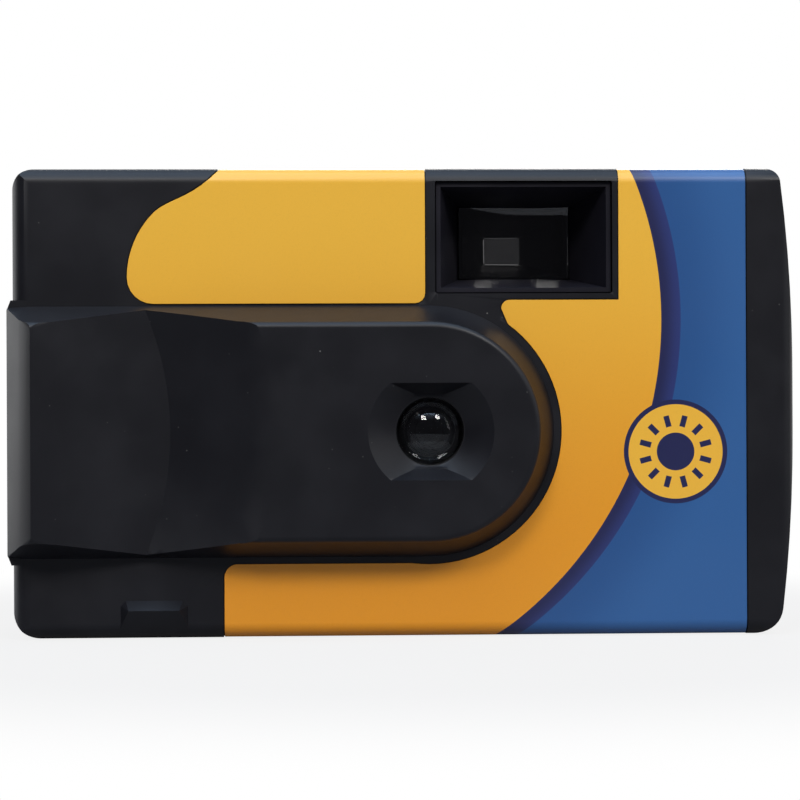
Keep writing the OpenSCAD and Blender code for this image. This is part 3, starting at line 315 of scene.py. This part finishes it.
class Nodes:
    """A shader node tree in the making."""

    def __init__(self, tree):
        self.tree = tree
        tree.nodes.clear()

    def node(self, kind, settings=None, inputs=(), out=0):
        """Adds a node: its settings first, then the values or links of its sockets."""
        made = self.tree.nodes.new(kind)
        for key, value in (settings or {}).items():
            setattr(made, key, value)
        for key, value in inputs.items() if isinstance(inputs, dict) else enumerate(inputs):
            self.feed(made.inputs[key], value)
        return Value(self, made.outputs[out]) if made.outputs else made

    def feed(self, socket, value):
        """Links a socket to a value, or sets a constant on it."""
        if isinstance(value, Value):
            self.tree.links.new(value.socket, socket)
        else:
            socket.default_value = value

    def parts(self, vector):
        """A vector's X, Y and Z."""
        split = self.node("ShaderNodeSeparateXYZ", None, [vector])
        outs = split.socket.node.outputs
        return [Value(self, outs[i]) for i in range(3)]

    def mix(self, share, first, second):
        """A colour between two colours."""
        return self.node("ShaderNodeMix", {"data_type": "RGBA"}, {0: share, 6: first, 7: second}, out=2)

    def ray(self, kind):
        """1 for one kind of ray, such as Camera."""
        return self.node("ShaderNodeLightPath", out=f"Is {kind} Ray")


class Finish(Nodes):
    """A material. Places are in millimetres in the CAD frame."""

    def __init__(self, name):
        self.material = bpy.data.materials.new(name)
        self.material.use_nodes = True
        super().__init__(self.material.node_tree)

    def place(self):
        """The surface point in millimetres, as a vector."""
        spot = self.node("ShaderNodeTexCoord", out="Object")
        return self.node("ShaderNodeVectorMath", {"operation": "SCALE"}, {0: spot, "Scale": 1 / MM})

    def noise(self, vector, per_mm, detail=3.0, rough=0.5, stretch=None):
        """Noise from 0 to 1, with so many lumps in a millimetre."""
        if stretch:
            vector = self.node("ShaderNodeVectorMath", {"operation": "MULTIPLY"}, [vector, stretch])
        return self.node(
            "ShaderNodeTexNoise", None,
            {"Vector": vector, "Scale": per_mm, "Detail": detail, "Roughness": rough},
        )

    def specks(self, vector, per_mm, size):
        """1 at scattered points, 0 elsewhere."""
        near = self.node(
            "ShaderNodeTexVoronoi", {"feature": "F1"}, {"Vector": vector, "Scale": per_mm}, out="Distance"
        )
        return near.under(size, soft=size * 0.6)

    def bump(self, height, depth):
        """A normal from a height of 0 to 1 and its depth in metres."""
        return self.node("ShaderNodeBump", None, {"Strength": 1.0, "Distance": depth, "Height": height})

    def shade(self, **sockets):
        """Ends the finish in one surface shader."""
        names = {key.replace("_", " "): value for key, value in sockets.items()}
        shader = self.node("ShaderNodeBsdfPrincipled", None, names)
        self.node("ShaderNodeOutputMaterial", None, {"Surface": shader})
        return self.material


DUST = linear(150, 148, 144)


def moulded_plastic(name, tone, grain=0.004, rough=0.42, level=0.3):
    """Moulded plastic: a fine spark-eroded grain, faint cloudiness and a little dust."""
    finish = Finish(name)
    spot = finish.place()
    cloud = finish.noise(spot, per_mm=0.12, detail=4.0)
    fine = finish.noise(spot, per_mm=7.0, detail=2.0, rough=0.6)
    specks = finish.specks(spot, per_mm=0.55, size=0.045)
    dust = specks * finish.noise(spot, per_mm=0.2).rise(0.5, 0.7)
    shade = finish.mix(cloud.rise(0.35, 0.75) * 0.5, tone, scaled(tone, times=1.5, plus=0.004))
    return finish.shade(
        Base_Color=finish.mix(dust * 0.5, shade, DUST),
        Roughness=rough + cloud.about(0.12) + fine.about(0.1) + dust * 0.3,
        Specular_IOR_Level=level,
        Normal=finish.bump(fine, grain * MM),
    )


def metal(name, tone, rough=0.3, stretch=(1.0, 1.0, 1.0)):
    """Bare or plated metal with fine drawing marks."""
    finish = Finish(name)
    spot = finish.place()
    marks = finish.noise(spot, per_mm=6.0, detail=4.0, rough=0.6, stretch=stretch)
    stain = finish.noise(spot, per_mm=0.4)
    return finish.shade(
        Base_Color=finish.mix(stain.rise(0.4, 0.8) * 0.6, tone, scaled(tone, times=0.7)),
        Metallic=1.0,
        Roughness=rough + marks.about(0.2),
        Normal=finish.bump(marks, 0.004 * MM),
    )


def film_base():
    """Colour film: a warm brown base with a soft gloss."""
    finish = Finish("film base")
    spot = finish.place()
    wave = finish.noise(spot, per_mm=0.15, detail=2.0)
    grain = finish.noise(spot, per_mm=9.0, detail=2.0)
    return finish.shade(
        Base_Color=finish.mix(wave, linear(92, 58, 42), linear(120, 78, 58)),
        Roughness=0.25 + grain * 0.1,
        Normal=finish.bump(grain, 0.001 * MM),
    )


def felt():
    """Black plush of the light trap."""
    finish = Finish("trap plush")
    pile = finish.noise(finish.place(), per_mm=8.0, detail=5.0, rough=0.7)
    return finish.shade(
        Base_Color=finish.mix(pile, linear(12, 12, 13), linear(44, 43, 43)),
        Roughness=0.85 + pile.about(0.2),
        Normal=finish.bump(pile, 0.12 * MM),
    )


def clear_plastic(name, tint, index, smear):
    """Clear moulded lens plastic, with the faint smears of handling."""
    finish = Finish(name)
    haze = finish.noise(finish.place(), per_mm=0.8, detail=4.0, rough=0.6, stretch=(1.0, 1.0, 2.5))
    return finish.shade(
        Base_Color=tuple(tint),
        Roughness=0.01 + haze.rise(0.45, 0.8) * smear,
        IOR=index,
        Transmission_Weight=1.0,
    )


# parts of the daylight mark, as shares of its disc's radius
MARK_RING = 1.1
MARK_DOT = 0.4
BAR_START = 0.54
BAR_END = 0.78
BAR_HALF_WIDTH = 0.06

# bare panels on the print's back, in millimetres: middle and size in X and Z, corner radius, rule
PANELS = (((2.5, 21.5), (34.0, 27.0)), ((32.5, 21.5), (18.0, 27.0)))
PANEL_CORNER = 2.0
PANEL_RULE = 0.4

FACE_DEPTH = 2.5  # millimetres behind the sheet's front or back that still count as that face
FLECK = linear(60, 46, 30)


def label_print(settings):
    """The printed wrap: colour fields split by arcs, a daylight mark, and bare panels on the back."""
    finish = Finish("label print")
    spot = finish.place()
    x, y, z = finish.parts(spot)

    def mm(metres):
        return metres / MM

    def from_middle(centre):
        return x - mm(centre[0]), z - mm(centre[1])

    fibre = finish.noise(spot, per_mm=5.0, rough=0.6)
    cloud = finish.noise(spot, per_mm=0.08)
    dots = finish.noise(spot, per_mm=14.0, detail=1.0)
    from_start = hypot(*from_middle(settings.band_start)) - mm(settings.band_start_r)
    from_end = hypot(*from_middle(settings.band_end)) - mm(settings.band_end_r)
    band = finish.mix(from_start.rise(0.3, 2.6), tuple(settings.navy), tuple(settings.deep))
    field = finish.mix(from_end.rise(0.0, 9.0), tuple(settings.deep_blue), tuple(settings.blue))
    # painted shade: the yellow field darkens to amber towards its foot, as light falling from above would
    # leave it
    low, high = settings.amber_rise
    main = finish.mix(z.rise(mm(low), mm(high)), tuple(settings.amber), tuple(settings.yellow))
    shade = finish.mix(1 - from_start.under(0.0), main, band)
    shade = finish.mix(1 - from_end.under(0.0), shade, field)

    # daylight mark: a disc in a dark ring, with a plain sun of a dot and bars
    front = y.under(mm(FRONT_Y) + FACE_DEPTH, soft=0.1)
    right, up = from_middle(settings.sun)
    away = hypot(right, up)
    disc = mm(settings.sun_r)
    step = 2 * math.pi / settings.sun_rays
    turn = finish.node("ShaderNodeMath", {"operation": "ARCTAN2"}, [up, right])
    swing = finish.node("ShaderNodeMath", {"operation": "FLOORED_MODULO"}, [turn, step]) - step / 2
    across = abs(away * swing.math("SINE"))
    ray = away.under(disc * BAR_END) * (1 - away.under(disc * BAR_START))
    bar = across.under(disc * BAR_HALF_WIDTH) * ray
    dot = away.under(disc * MARK_DOT)
    shade = finish.mix(front * away.under(disc * MARK_RING), shade, tuple(settings.navy))
    shade = finish.mix(front * away.under(disc), shade, tuple(settings.yellow))
    shade = finish.mix(front * bar.most(dot), shade, tuple(settings.navy))

    # bare panels on the back, with a dark rule round each
    back = 1 - y.under(mm(BACK_Y) - FACE_DEPTH, soft=0.1)
    for (cx, cz), (wide, high) in PANELS:
        beside = abs(x - cx) - (wide / 2 - PANEL_CORNER)
        above = abs(z - cz) - (high / 2 - PANEL_CORNER)
        rim = hypot(beside.most(0.0), above.most(0.0)) + beside.most(above).least(0.0)
        shade = finish.mix(back * rim.under(PANEL_CORNER + PANEL_RULE), shade, tuple(settings.navy))
        shade = finish.mix(back * rim.under(PANEL_CORNER), shade, tuple(settings.cream))

    flecks = (dots.rise(0.45, 0.75) + fibre.rise(0.5, 0.8)) * 0.05
    shade = finish.mix(flecks, shade, FLECK)
    return finish.shade(
        Base_Color=shade,
        Roughness=0.36 + fibre.about(0.12) + cloud.about(0.1),
        Specular_IOR_Level=0.45,
        Coat_Weight=0.25,
        Coat_Roughness=0.2,
        Normal=finish.bump(fibre, 0.004 * MM),
    )


def paper_edge(settings):
    """The bare paper along the wrap's cut edge."""
    finish = Finish("label paper")
    fibre = finish.noise(finish.place(), per_mm=6.0, detail=4.0, rough=0.6)
    return finish.shade(
        Base_Color=finish.mix(fibre, tuple(settings.paper), linear(206, 170, 96)),
        Roughness=0.7 + fibre.about(0.2),
        Normal=finish.bump(fibre, 0.01 * MM),
    )


def dress(material, *nodes):
    """Gives CAD nodes a finish."""
    for node in nodes:
        slots = frame["nodes"][node].data.materials
        slots.clear()
        slots.append(material)


def add_piece(name, mesh, material, body):
    """A new object that rides on a CAD body and takes a finish."""
    piece = bpy.data.objects.new(name, mesh)
    bpy.context.scene.collection.objects.link(piece)
    mesh.materials.clear()
    mesh.materials.append(material)
    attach(piece, body)
    return piece


WELD = 0.002 * MM
SOFT_FOLD = math.radians(12)  # an edge with less of a fold isn't softened
HARD_FOLD = math.radians(28)  # an edge with less of a fold isn't rounded


def welded(node):
    """A CAD node's mesh, welded and smooth, ready to be worked on."""
    form = bmesh.new()
    form.from_mesh(frame["nodes"][node].data)
    bmesh.ops.remove_doubles(form, verts=form.verts, dist=WELD)
    for face in form.faces:
        face.smooth = True
    return form


def to_mesh(form, name):
    """Ends the work on a form."""
    mesh = bpy.data.meshes.new(name)
    form.to_mesh(mesh)
    form.free()
    return mesh


def bevel_wide(form, edges, width):
    """Rounds edges of a form in four steps."""
    bmesh.ops.bevel(
        form, geom=edges, offset=width, segments=4, profile=0.5, affect="EDGES", clamp_overlap=True
    )


def soften(form, low, high, width):
    """Rounds the edges of a form that lie in a box, more than the rest."""
    inside = [
        edge for edge in form.edges
        if len(edge.link_faces) == 2 and edge.calc_face_angle() > SOFT_FOLD
        and all(low[i] < vert.co[i] < high[i] for vert in edge.verts for i in range(3))
    ]
    bevel_wide(form, inside, width)
    for face in form.faces:
        face.smooth = True


def round_edges(piece, width):
    """Rounds every hard edge of a piece in two steps."""
    bevel = piece.modifiers.new("round edges", "BEVEL")
    bevel.width = width
    bevel.segments = 2
    bevel.limit_method = "ANGLE"
    bevel.angle_limit = HARD_FOLD
    bevel.use_clamp_overlap = True


def shade_evenly(piece):
    """Lets large faces set the shading, so that they stay flat."""
    even = piece.modifiers.new("even shading", "WEIGHTED_NORMAL")
    even.weight = 100
    even.keep_sharp = True


def rounded_copy(node, name, material, body, edge, soft_box=None):
    """A copy of a CAD node, welded and with its edges rounded, that stands for the node."""
    form = welded(node)
    if soft_box:
        soften(form, *soft_box)
    piece = add_piece(name, to_mesh(form, name), material, body)
    round_edges(piece, edge)
    shade_evenly(piece)
    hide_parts(node)


class CAMERA_OT_covers(bpy.types.Operator):
    """Round the edges of the black covers and give them their moulded plastic"""

    bl_idname = "camera_part.covers"
    bl_label = "Covers"

    def execute(self, context):
        settings = context.scene.cover_settings
        plastic = moulded_plastic("cover plastic", tuple(settings.plastic), level=0.31)
        for node, name, soft_box in (
            ("front_cover", "front_shell", self.catch_box(settings)),
            ("rear_cover", "rear_shell", None),
            ("cartridge_door", "film_door", None),
        ):
            rounded_copy(node, name, plastic, "camera", settings.edge, soft_box)
        self.add_arrow(plastic)
        return {"FINISHED"}

    def catch_box(self, settings):
        """Where the door's catch stands out of the front, and how far its edges are rounded."""
        left, right = LENS.x - 41 * MM, LENS.x - 30 * MM
        near, far = FRONT_Y - 2 * MM, FRONT_Y + 0.5 * MM
        foot, top = 0.5 * MM, 6 * MM
        return (left, near, foot), (right, far, top), settings.catch_edge

    def add_arrow(self, plastic):
        """The raised arrow under the thumb recess that shows which way the wheel winds."""
        tip, neck, tail = -3.6 * MM, -0.8 * MM, 3.6 * MM
        head, shaft = 1.5 * MM, 0.5 * MM
        sunk, height, below_top, rounding = 0.3 * MM, 0.55 * MM, 15.5 * MM, 0.1 * MM
        outline = (
            (tip, 0), (neck, head), (neck, shaft), (tail, shaft),
            (tail, -shaft), (neck, -shaft), (neck, -head),
        )
        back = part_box("rear_cover")[1].y
        spot = Vector((middle("thumbwheel").x, back - sunk, TOP_Z - below_top))
        form = bmesh.new()
        face = form.faces.new([form.verts.new(spot + Vector((x, 0, z))) for x, z in outline])
        raised = bmesh.ops.extrude_face_region(form, geom=[face])["geom"]
        corners = [part for part in raised if isinstance(part, bmesh.types.BMVert)]
        bmesh.ops.translate(form, vec=(0, height, 0), verts=corners)
        bmesh.ops.recalc_face_normals(form, faces=form.faces)
        arrow = add_piece("wind_arrow", to_mesh(form, "wind_arrow"), plastic, "camera")
        round_edges(arrow, rounding)


class CAMERA_OT_label(bpy.types.Operator):
    """Print the wrap and bare the paper along its cut edge"""

    bl_idname = "camera_part.label"
    bl_label = "Label"

    FLAT = math.radians(0.2)  # faces with less of a fold between them become one
    FOLD = math.radians(40)  # faces with less of a fold between them lie on one side of the sheet

    def execute(self, context):
        settings = context.scene.label_settings
        form = welded("wrap_label")
        bmesh.ops.dissolve_limit(form, angle_limit=self.FLAT, verts=form.verts, edges=form.edges)
        self.ease_tip(form)
        sheet = self.outside(form)
        rim = [edge for edge in form.edges if sum(face in sheet for face in edge.link_faces) == 1]
        if not rim:
            raise RuntimeError("the label has no rim")
        bmesh.ops.bevel(
            form, geom=rim, offset=settings.cut, offset_type="OFFSET", segments=1, affect="EDGES",
            clamp_overlap=True, material=1,
        )
        mesh = to_mesh(form, "printed_wrap")
        wrap = add_piece("printed_wrap", mesh, label_print(settings), "camera")
        wrap.data.materials.append(paper_edge(settings))
        shade_evenly(wrap)
        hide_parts("wrap_label")
        return {"FINISHED"}

    def ease_tip(self, form):
        """Slants and rounds the tip of the sheet between the finder and the lens panel."""
        tip = LENS.xz + Vector((9.4, 14.34)) * MM
        shift = Vector((0.85, 0, -0.6)) * MM
        reach, rounding = 0.3 * MM, 0.6 * MM
        corner = [
            edge for edge in form.edges
            if all(vert.co.y < 0 and (vert.co.xz - tip).length < reach for vert in edge.verts)
        ]
        if len(corner) != 1:
            raise RuntimeError("the label's tip isn't where it should be")
        bmesh.ops.translate(form, vec=shift, verts=corner[0].verts[:])
        bevel_wide(form, corner, rounding)

    def outside(self, form):
        """The sheet's outer faces, found by walking from its front over every soft fold."""
        front = [face for face in form.faces if face.normal.y < -0.99]
        walk = [min(front, key=lambda face: face.calc_center_median().y)]
        found = set(walk)
        while walk:
            for edge in walk.pop().edges:
                if len(edge.link_faces) == 2 and edge.calc_face_angle() < self.FOLD:
                    fresh = [face for face in edge.link_faces if face not in found]
                    found.update(fresh)
                    walk.extend(fresh)
        return found


class CAMERA_OT_lens(bpy.types.Operator):
    """Finish the lens and what holds it"""

    bl_idname = "camera_part.lens"
    bl_label = "Lens"

    def execute(self, context):
        settings = context.scene.optics_settings
        glass = clear_plastic("lens plastic", settings.clear, settings.index, smear=0.02)
        dress(glass, "taking_lens")
        board = moulded_plastic("board plastic", linear(9, 9, 10), rough=0.7, level=0.1)
        dress(board, "lens_board", "lens_retainer")
        dress(metal("blackened plate", linear(24, 24, 26), rough=0.55), "aperture_plate")
        return {"FINISHED"}


class CAMERA_OT_finder(bpy.types.Operator):
    """Finish the finder's tube and its two lenses"""

    bl_idname = "camera_part.finder"
    bl_label = "Finder"

    def execute(self, context):
        settings = context.scene.optics_settings
        tube = moulded_plastic(
            "finder plastic", tuple(settings.finder_black), grain=0.002, rough=0.5, level=0.15
        )
        rounded_copy(
            "finder_housing", "finder_tube", tube, "camera", settings.finder_edge
        )
        # the finder lenses' dark tint is painted shade that dims the view through the finder
        clear = clear_plastic(
            "finder lens plastic", settings.finder_clear, settings.finder_index, smear=0.05
        )
        dress(clear, "finder_front_lens", "finder_eyepiece")
        return {"FINISHED"}


class CAMERA_OT_controls(bpy.types.Operator):
    """Round the button and the wheel, and finish the counter"""

    bl_idname = "camera_part.controls"
    bl_label = "Controls"

    def execute(self, context):
        settings = context.scene.cover_settings
        grey = moulded_plastic("control plastic", linear(40, 41, 45), grain=0.006, rough=0.48)
        rounded_copy("shutter_button", "button_cap", grey, "button", settings.button_edge)
        rounded_copy("thumbwheel", "wind_wheel", grey, "winder", settings.wheel_edge)
        dial = moulded_plastic("counter plastic", linear(228, 226, 218), grain=0.002, rough=0.4)
        dress(dial, "counter_wheel")
        optics = context.scene.optics_settings
        window = clear_plastic("counter window plastic", optics.clear, optics.index, smear=0.05)
        dress(window, "counter_window")
        return {"FINISHED"}


class CAMERA_OT_counter(bpy.types.Operator):
    """Number the counter's dial, from 27 down, with dots between"""

    bl_idname = "camera_part.counter"
    bl_label = "Counter"

    def execute(self, context):
        settings = context.scene.counter_settings
        low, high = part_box("counter_wheel")
        centre = (low + high) / 2
        window = middle("counter_window")
        reach = (window - centre).xy.length
        start = math.atan2(window.y - centre.y, window.x - centre.x)
        form = bmesh.new()
        for left in range(settings.frames, -1, -1):
            turn = start + (settings.frames - left) * settings.step
            place = centre + Vector((reach * math.cos(turn), reach * math.sin(turn), 0))
            place.z = high.z
            upright = Matrix.Translation(place) @ Matrix.Rotation(turn - math.pi / 2, 4, "Z")
            if left % settings.every == 0:
                number = self.number(context, str(left), settings)
                number.transform(upright)
                form.from_mesh(number)
                bpy.data.meshes.remove(number)
            else:
                bmesh.ops.create_cone(
                    form, cap_ends=True, segments=12, radius1=settings.dot_r, radius2=settings.dot_r,
                    depth=2 * settings.ink, matrix=upright,
                )
        bmesh.ops.remove_doubles(form, verts=form.verts, dist=WELD / 2)
        ink = moulded_plastic("counter ink", linear(28, 28, 32), grain=0.002, rough=0.5)
        add_piece("counter_numbers", to_mesh(form, "counter_numbers"), ink, "counter")
        return {"FINISHED"}

    def number(self, context, text, settings):
        """A number as a thin solid, lying flat about its own middle."""
        curve = bpy.data.curves.new("number", "FONT")
        curve.body = text
        curve.size = settings.number_h
        curve.align_x, curve.align_y = "CENTER", "CENTER"
        curve.extrude = settings.ink
        curve.resolution_u = 3
        holder = bpy.data.objects.new("number", curve)
        context.scene.collection.objects.link(holder)
        mesh = bpy.data.meshes.new_from_object(holder.evaluated_get(context.evaluated_depsgraph_get()))
        bpy.data.objects.remove(holder)
        bpy.data.curves.remove(curve)
        return mesh


class CAMERA_OT_works(bpy.types.Operator):
    """Finish the frame and the works inside"""

    bl_idname = "camera_part.works"
    bl_label = "Works"

    def execute(self, context):
        frame_plastic = moulded_plastic("frame plastic", linear(34, 35, 38), grain=0.008, rough=0.55)
        lever_plastic = moulded_plastic("lever plastic", linear(64, 67, 72), rough=0.4)
        white_plastic = moulded_plastic("shaft plastic", linear(216, 217, 212), grain=0.003, rough=0.35)
        steel = metal("spring steel", linear(186, 188, 192), rough=0.25)
        dress(frame_plastic, "main_frame", "keeper_plate")
        dress(lever_plastic, "striker_lever", "metering_lever", "ratchet_pawl")
        dress(white_plastic, "sprocket_shaft")
        dress(steel, "blade_spring", "striker_spring")
        self.add_press_spring(steel)
        blade = metal("blackened blade", linear(34, 34, 36), rough=0.5, stretch=(0.2, 1.0, 1.0))
        dress(blade, "shutter_blade")
        return {"FINISHED"}

    def add_press_spring(self, steel):
        """The coil under the button, copied from the CAD node; it keeps its length when the button goes
        down.
        """
        low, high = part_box("button_spring")
        press = next(joint for joint in frame["joints"] if joint["name"] == "button_press")
        travel = press["range_m"][1]
        mesh = to_mesh(welded("button_spring"), "press_spring")
        coil = add_piece("press_spring", mesh, steel, "camera")
        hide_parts("button_spring")
        1 - travel / (high.z - low.z)
        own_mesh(coil)


class CAMERA_OT_film(bpy.types.Operator):
    """Finish the film and its cartridge"""

    bl_idname = "camera_part.film"
    bl_label = "Film"

    def execute(self, context):
        base = film_base()
        dress(base, "film_strip", "film_roll")
        spool = moulded_plastic("spool plastic", linear(27, 27, 29), grain=0.003, rough=0.4)
        dress(spool, "supply_spool", "cartridge_spool")
        sheet = metal("cartridge sheet", linear(196, 170, 96), rough=0.35, stretch=(1.0, 1.0, 0.1))
        dress(sheet, "cartridge_shell")
        dress(metal("cap sheet", linear(40, 40, 42), rough=0.4), "cartridge_caps")
        dress(felt(), "cartridge_felt")
        return {"FINISHED"}


Lamp = collections.namedtuple("Lamp", "name place size tint power")
LAMPS = (
    Lamp("key_left", (-0.25, -0.73, 0.63), 0.22, (1.0, 0.97, 0.93), "key_power"),
    Lamp("key_right", (0.38, -0.67, 0.63), 0.22, (1.0, 0.97, 0.93), "key_power"),
    Lamp("overhead", (-0.03, -0.15, 0.5), 0.46, (0.55, 0.74, 1.0), "top_power"),
    Lamp("back_fill", (0.15, 0.75, 0.35), 0.4, (1.0, 0.97, 0.92), "back_power"),
    Lamp("rim_left", (-0.55, 0.25, 0.18), 0.4, (0.95, 0.97, 1.0), "rim_power"),
    Lamp("rim_right", (0.6, -0.2, 0.25), 0.4, (0.95, 0.97, 1.0), "rim_power"),
)
LAMP_AIM = Vector((0.0, 0.0, 0.03))
FLOOR_GAP = 0.1 * MM
SENSOR_WIDTH = 36.0
CLIP_START = 0.01


class CAMERA_OT_stage(bpy.types.Operator):
    """Set up the floor, the light and the camera"""

    bl_idname = "camera_part.stage"
    bl_label = "Stage"

    def execute(self, context):
        settings = context.scene.stage_settings
        self.add_floor(settings)
        self.light_world(context.scene, settings)
        for lamp in LAMPS:
            self.add_lamp(lamp, getattr(settings, lamp.power))
        self.add_camera(context.scene, settings)
        return {"FINISHED"}

    def add_lamp(self, lamp, watts):
        """A square soft lamp at its place, turned to the object."""
        light = bpy.data.lights.new(lamp.name, "AREA")
        light.shape = "SQUARE"
        light.size = lamp.size
        light.energy = watts
        light.color = lamp.tint
        holder = bpy.data.objects.new(lamp.name, light)
        holder.location = lamp.place
        holder.rotation_euler = (LAMP_AIM - Vector(lamp.place)).to_track_quat("-Z", "Y").to_euler()
        bpy.context.scene.collection.objects.link(holder)

    def add_floor(self, settings):
        """A pale round floor that turns white far off and keeps the object's shadow."""
        mesh = bpy.data.meshes.new("floor")
        disc = bmesh.new()
        bmesh.ops.create_circle(disc, cap_ends=True, segments=96, radius=settings.floor_r)
        disc.to_mesh(mesh)
        disc.free()
        floor = bpy.data.objects.new("floor", mesh)
        floor.location.z = CAD_BOX[0][2] - FLOOR_GAP
        bpy.context.scene.collection.objects.link(floor)
        finish = Finish("floor paper")
        spot = finish.place()
        x, y, _ = finish.parts(spot)
        clouds = finish.noise(spot, per_mm=0.02, detail=2.0)
        shade = finish.mix(clouds * 0.2, tuple(settings.floor), tuple(settings.mottle))
        paper = finish.node(
            "ShaderNodeBsdfPrincipled", None,
            {"Base Color": shade, "Roughness": 0.9, "Specular IOR Level": 0.1},
        )
        white = finish.node("ShaderNodeEmission", None, {"Color": WHITE})
        far = hypot(x, y).rise(*(edge / MM for edge in settings.fade))
        behind = y.rise(20.0, 60.0)
        seen = finish.ray("Camera") * (settings.pale + (1 - settings.pale) * far)
        seen = seen + finish.ray("Glossy").most(finish.ray("Transmission")) * far * behind
        surface = finish.node("ShaderNodeMixShader", None, [seen, paper, white])
        finish.node("ShaderNodeOutputMaterial", None, {"Surface": surface})
        mesh.materials.append(finish.material)

    def light_world(self, scene, settings):
        """White to the camera, a pale back and a dark front to reflections, soft light to the rest."""
        world = bpy.data.worlds.new("studio")
        scene.world = world
        world.use_nodes = True
        studio = Nodes(world.node_tree)
        mirrored = studio.ray("Glossy").most(studio.ray("Transmission"))
        _, back, up = studio.parts(studio.node("ShaderNodeTexCoord", out="Generated"))
        backdrop, ceiling, sky = back.rise(-0.1, 0.7), up.rise(0.5, 0.8), up.rise(-0.3, 0.3)
        room = studio.mix(backdrop, tuple(settings.dim), WHITE)
        room = studio.mix(ceiling, room, tuple(settings.overcast))
        soft = studio.mix(sky, tuple(settings.under), tuple(settings.soft))
        soft_light, room_light, white_light = (
            studio.node("ShaderNodeBackground", None, {"Color": shade}) for shade in (soft, room, WHITE)
        )
        seen = studio.node("ShaderNodeMixShader", None, [mirrored, soft_light, room_light])
        seen = studio.node("ShaderNodeMixShader", None, [studio.ray("Camera"), seen, white_light])
        studio.node("ShaderNodeOutputWorld", None, {"Surface": seen})

    def add_camera(self, scene, settings):
        """The photograph's view, without depth of field or shift."""
        lens = bpy.data.cameras.new("view")
        lens.sensor_width = SENSOR_WIDTH
        lens.lens = lens.sensor_width * settings.distance / settings.view_width
        lens.clip_start = CLIP_START
        camera = bpy.data.objects.new("view", lens)
        target = Vector((settings.target[0], FRONT_Y, settings.target[1]))
        away = Vector((math.sin(settings.azimuth), -math.cos(settings.azimuth), 0.0))
        camera.location = target + away * settings.distance
        upright = (target - camera.location).to_track_quat("-Z", "Y").to_matrix().to_4x4()
        camera.rotation_euler = (upright @ Matrix.Rotation(settings.roll, 4, "Z")).to_euler()
        scene.collection.objects.link(camera)
        scene.camera = camera
        scene.view_settings.view_transform = "Standard"


class CAMERA_PT_finishes(bpy.types.Panel):
    """Lists the steps that dress the camera"""

    bl_idname = "CAMERA_PT_finishes"
    bl_label = "Film camera"
    bl_space_type = "VIEW_3D"
    bl_region_type = "UI"
    bl_category = "Camera"

    def draw(self, context):
        scene = context.scene
        for group in GROUPS:
            settings = getattr(scene, group)
            box = self.layout.box()
            for name in settings.__annotations__:
                box.prop(settings, name)
        for step in STEPS:
            self.layout.operator(step.bl_idname)


STEPS = (
    CAMERA_OT_stage,
    CAMERA_OT_covers,
    CAMERA_OT_label,
    CAMERA_OT_lens,
    CAMERA_OT_finder,
    CAMERA_OT_controls,
    CAMERA_OT_counter,
    CAMERA_OT_works,
    CAMERA_OT_film,
)
GROUPS = {
    "cover_settings": CoverSettings,
    "label_settings": LabelSettings,
    "optics_settings": OpticsSettings,
    "counter_settings": CounterSettings,
    "stage_settings": StageSettings,
}


def register():
    """Makes the settings, steps and panel known to Blender."""
    for group in GROUPS.values():
        bpy.utils.register_class(group)
    for name, group in GROUPS.items():
        setattr(bpy.types.Scene, name, bpy.props.PointerProperty(type=group))
    for step in STEPS:
        bpy.utils.register_class(step)
    bpy.utils.register_class(CAMERA_PT_finishes)


def unregister():
    """Takes them away again."""
    bpy.utils.unregister_class(CAMERA_PT_finishes)
    for step in reversed(STEPS):
        bpy.utils.unregister_class(step)
    for name, group in GROUPS.items():
        delattr(bpy.types.Scene, name)
        bpy.utils.unregister_class(group)


def main():
    """Dresses the camera step by step."""
    register()
    for step in STEPS:
        family, action = step.bl_idname.split(".")
        getattr(getattr(bpy.ops, family), action)()
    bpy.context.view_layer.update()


if __name__ == "__main__":
    main()
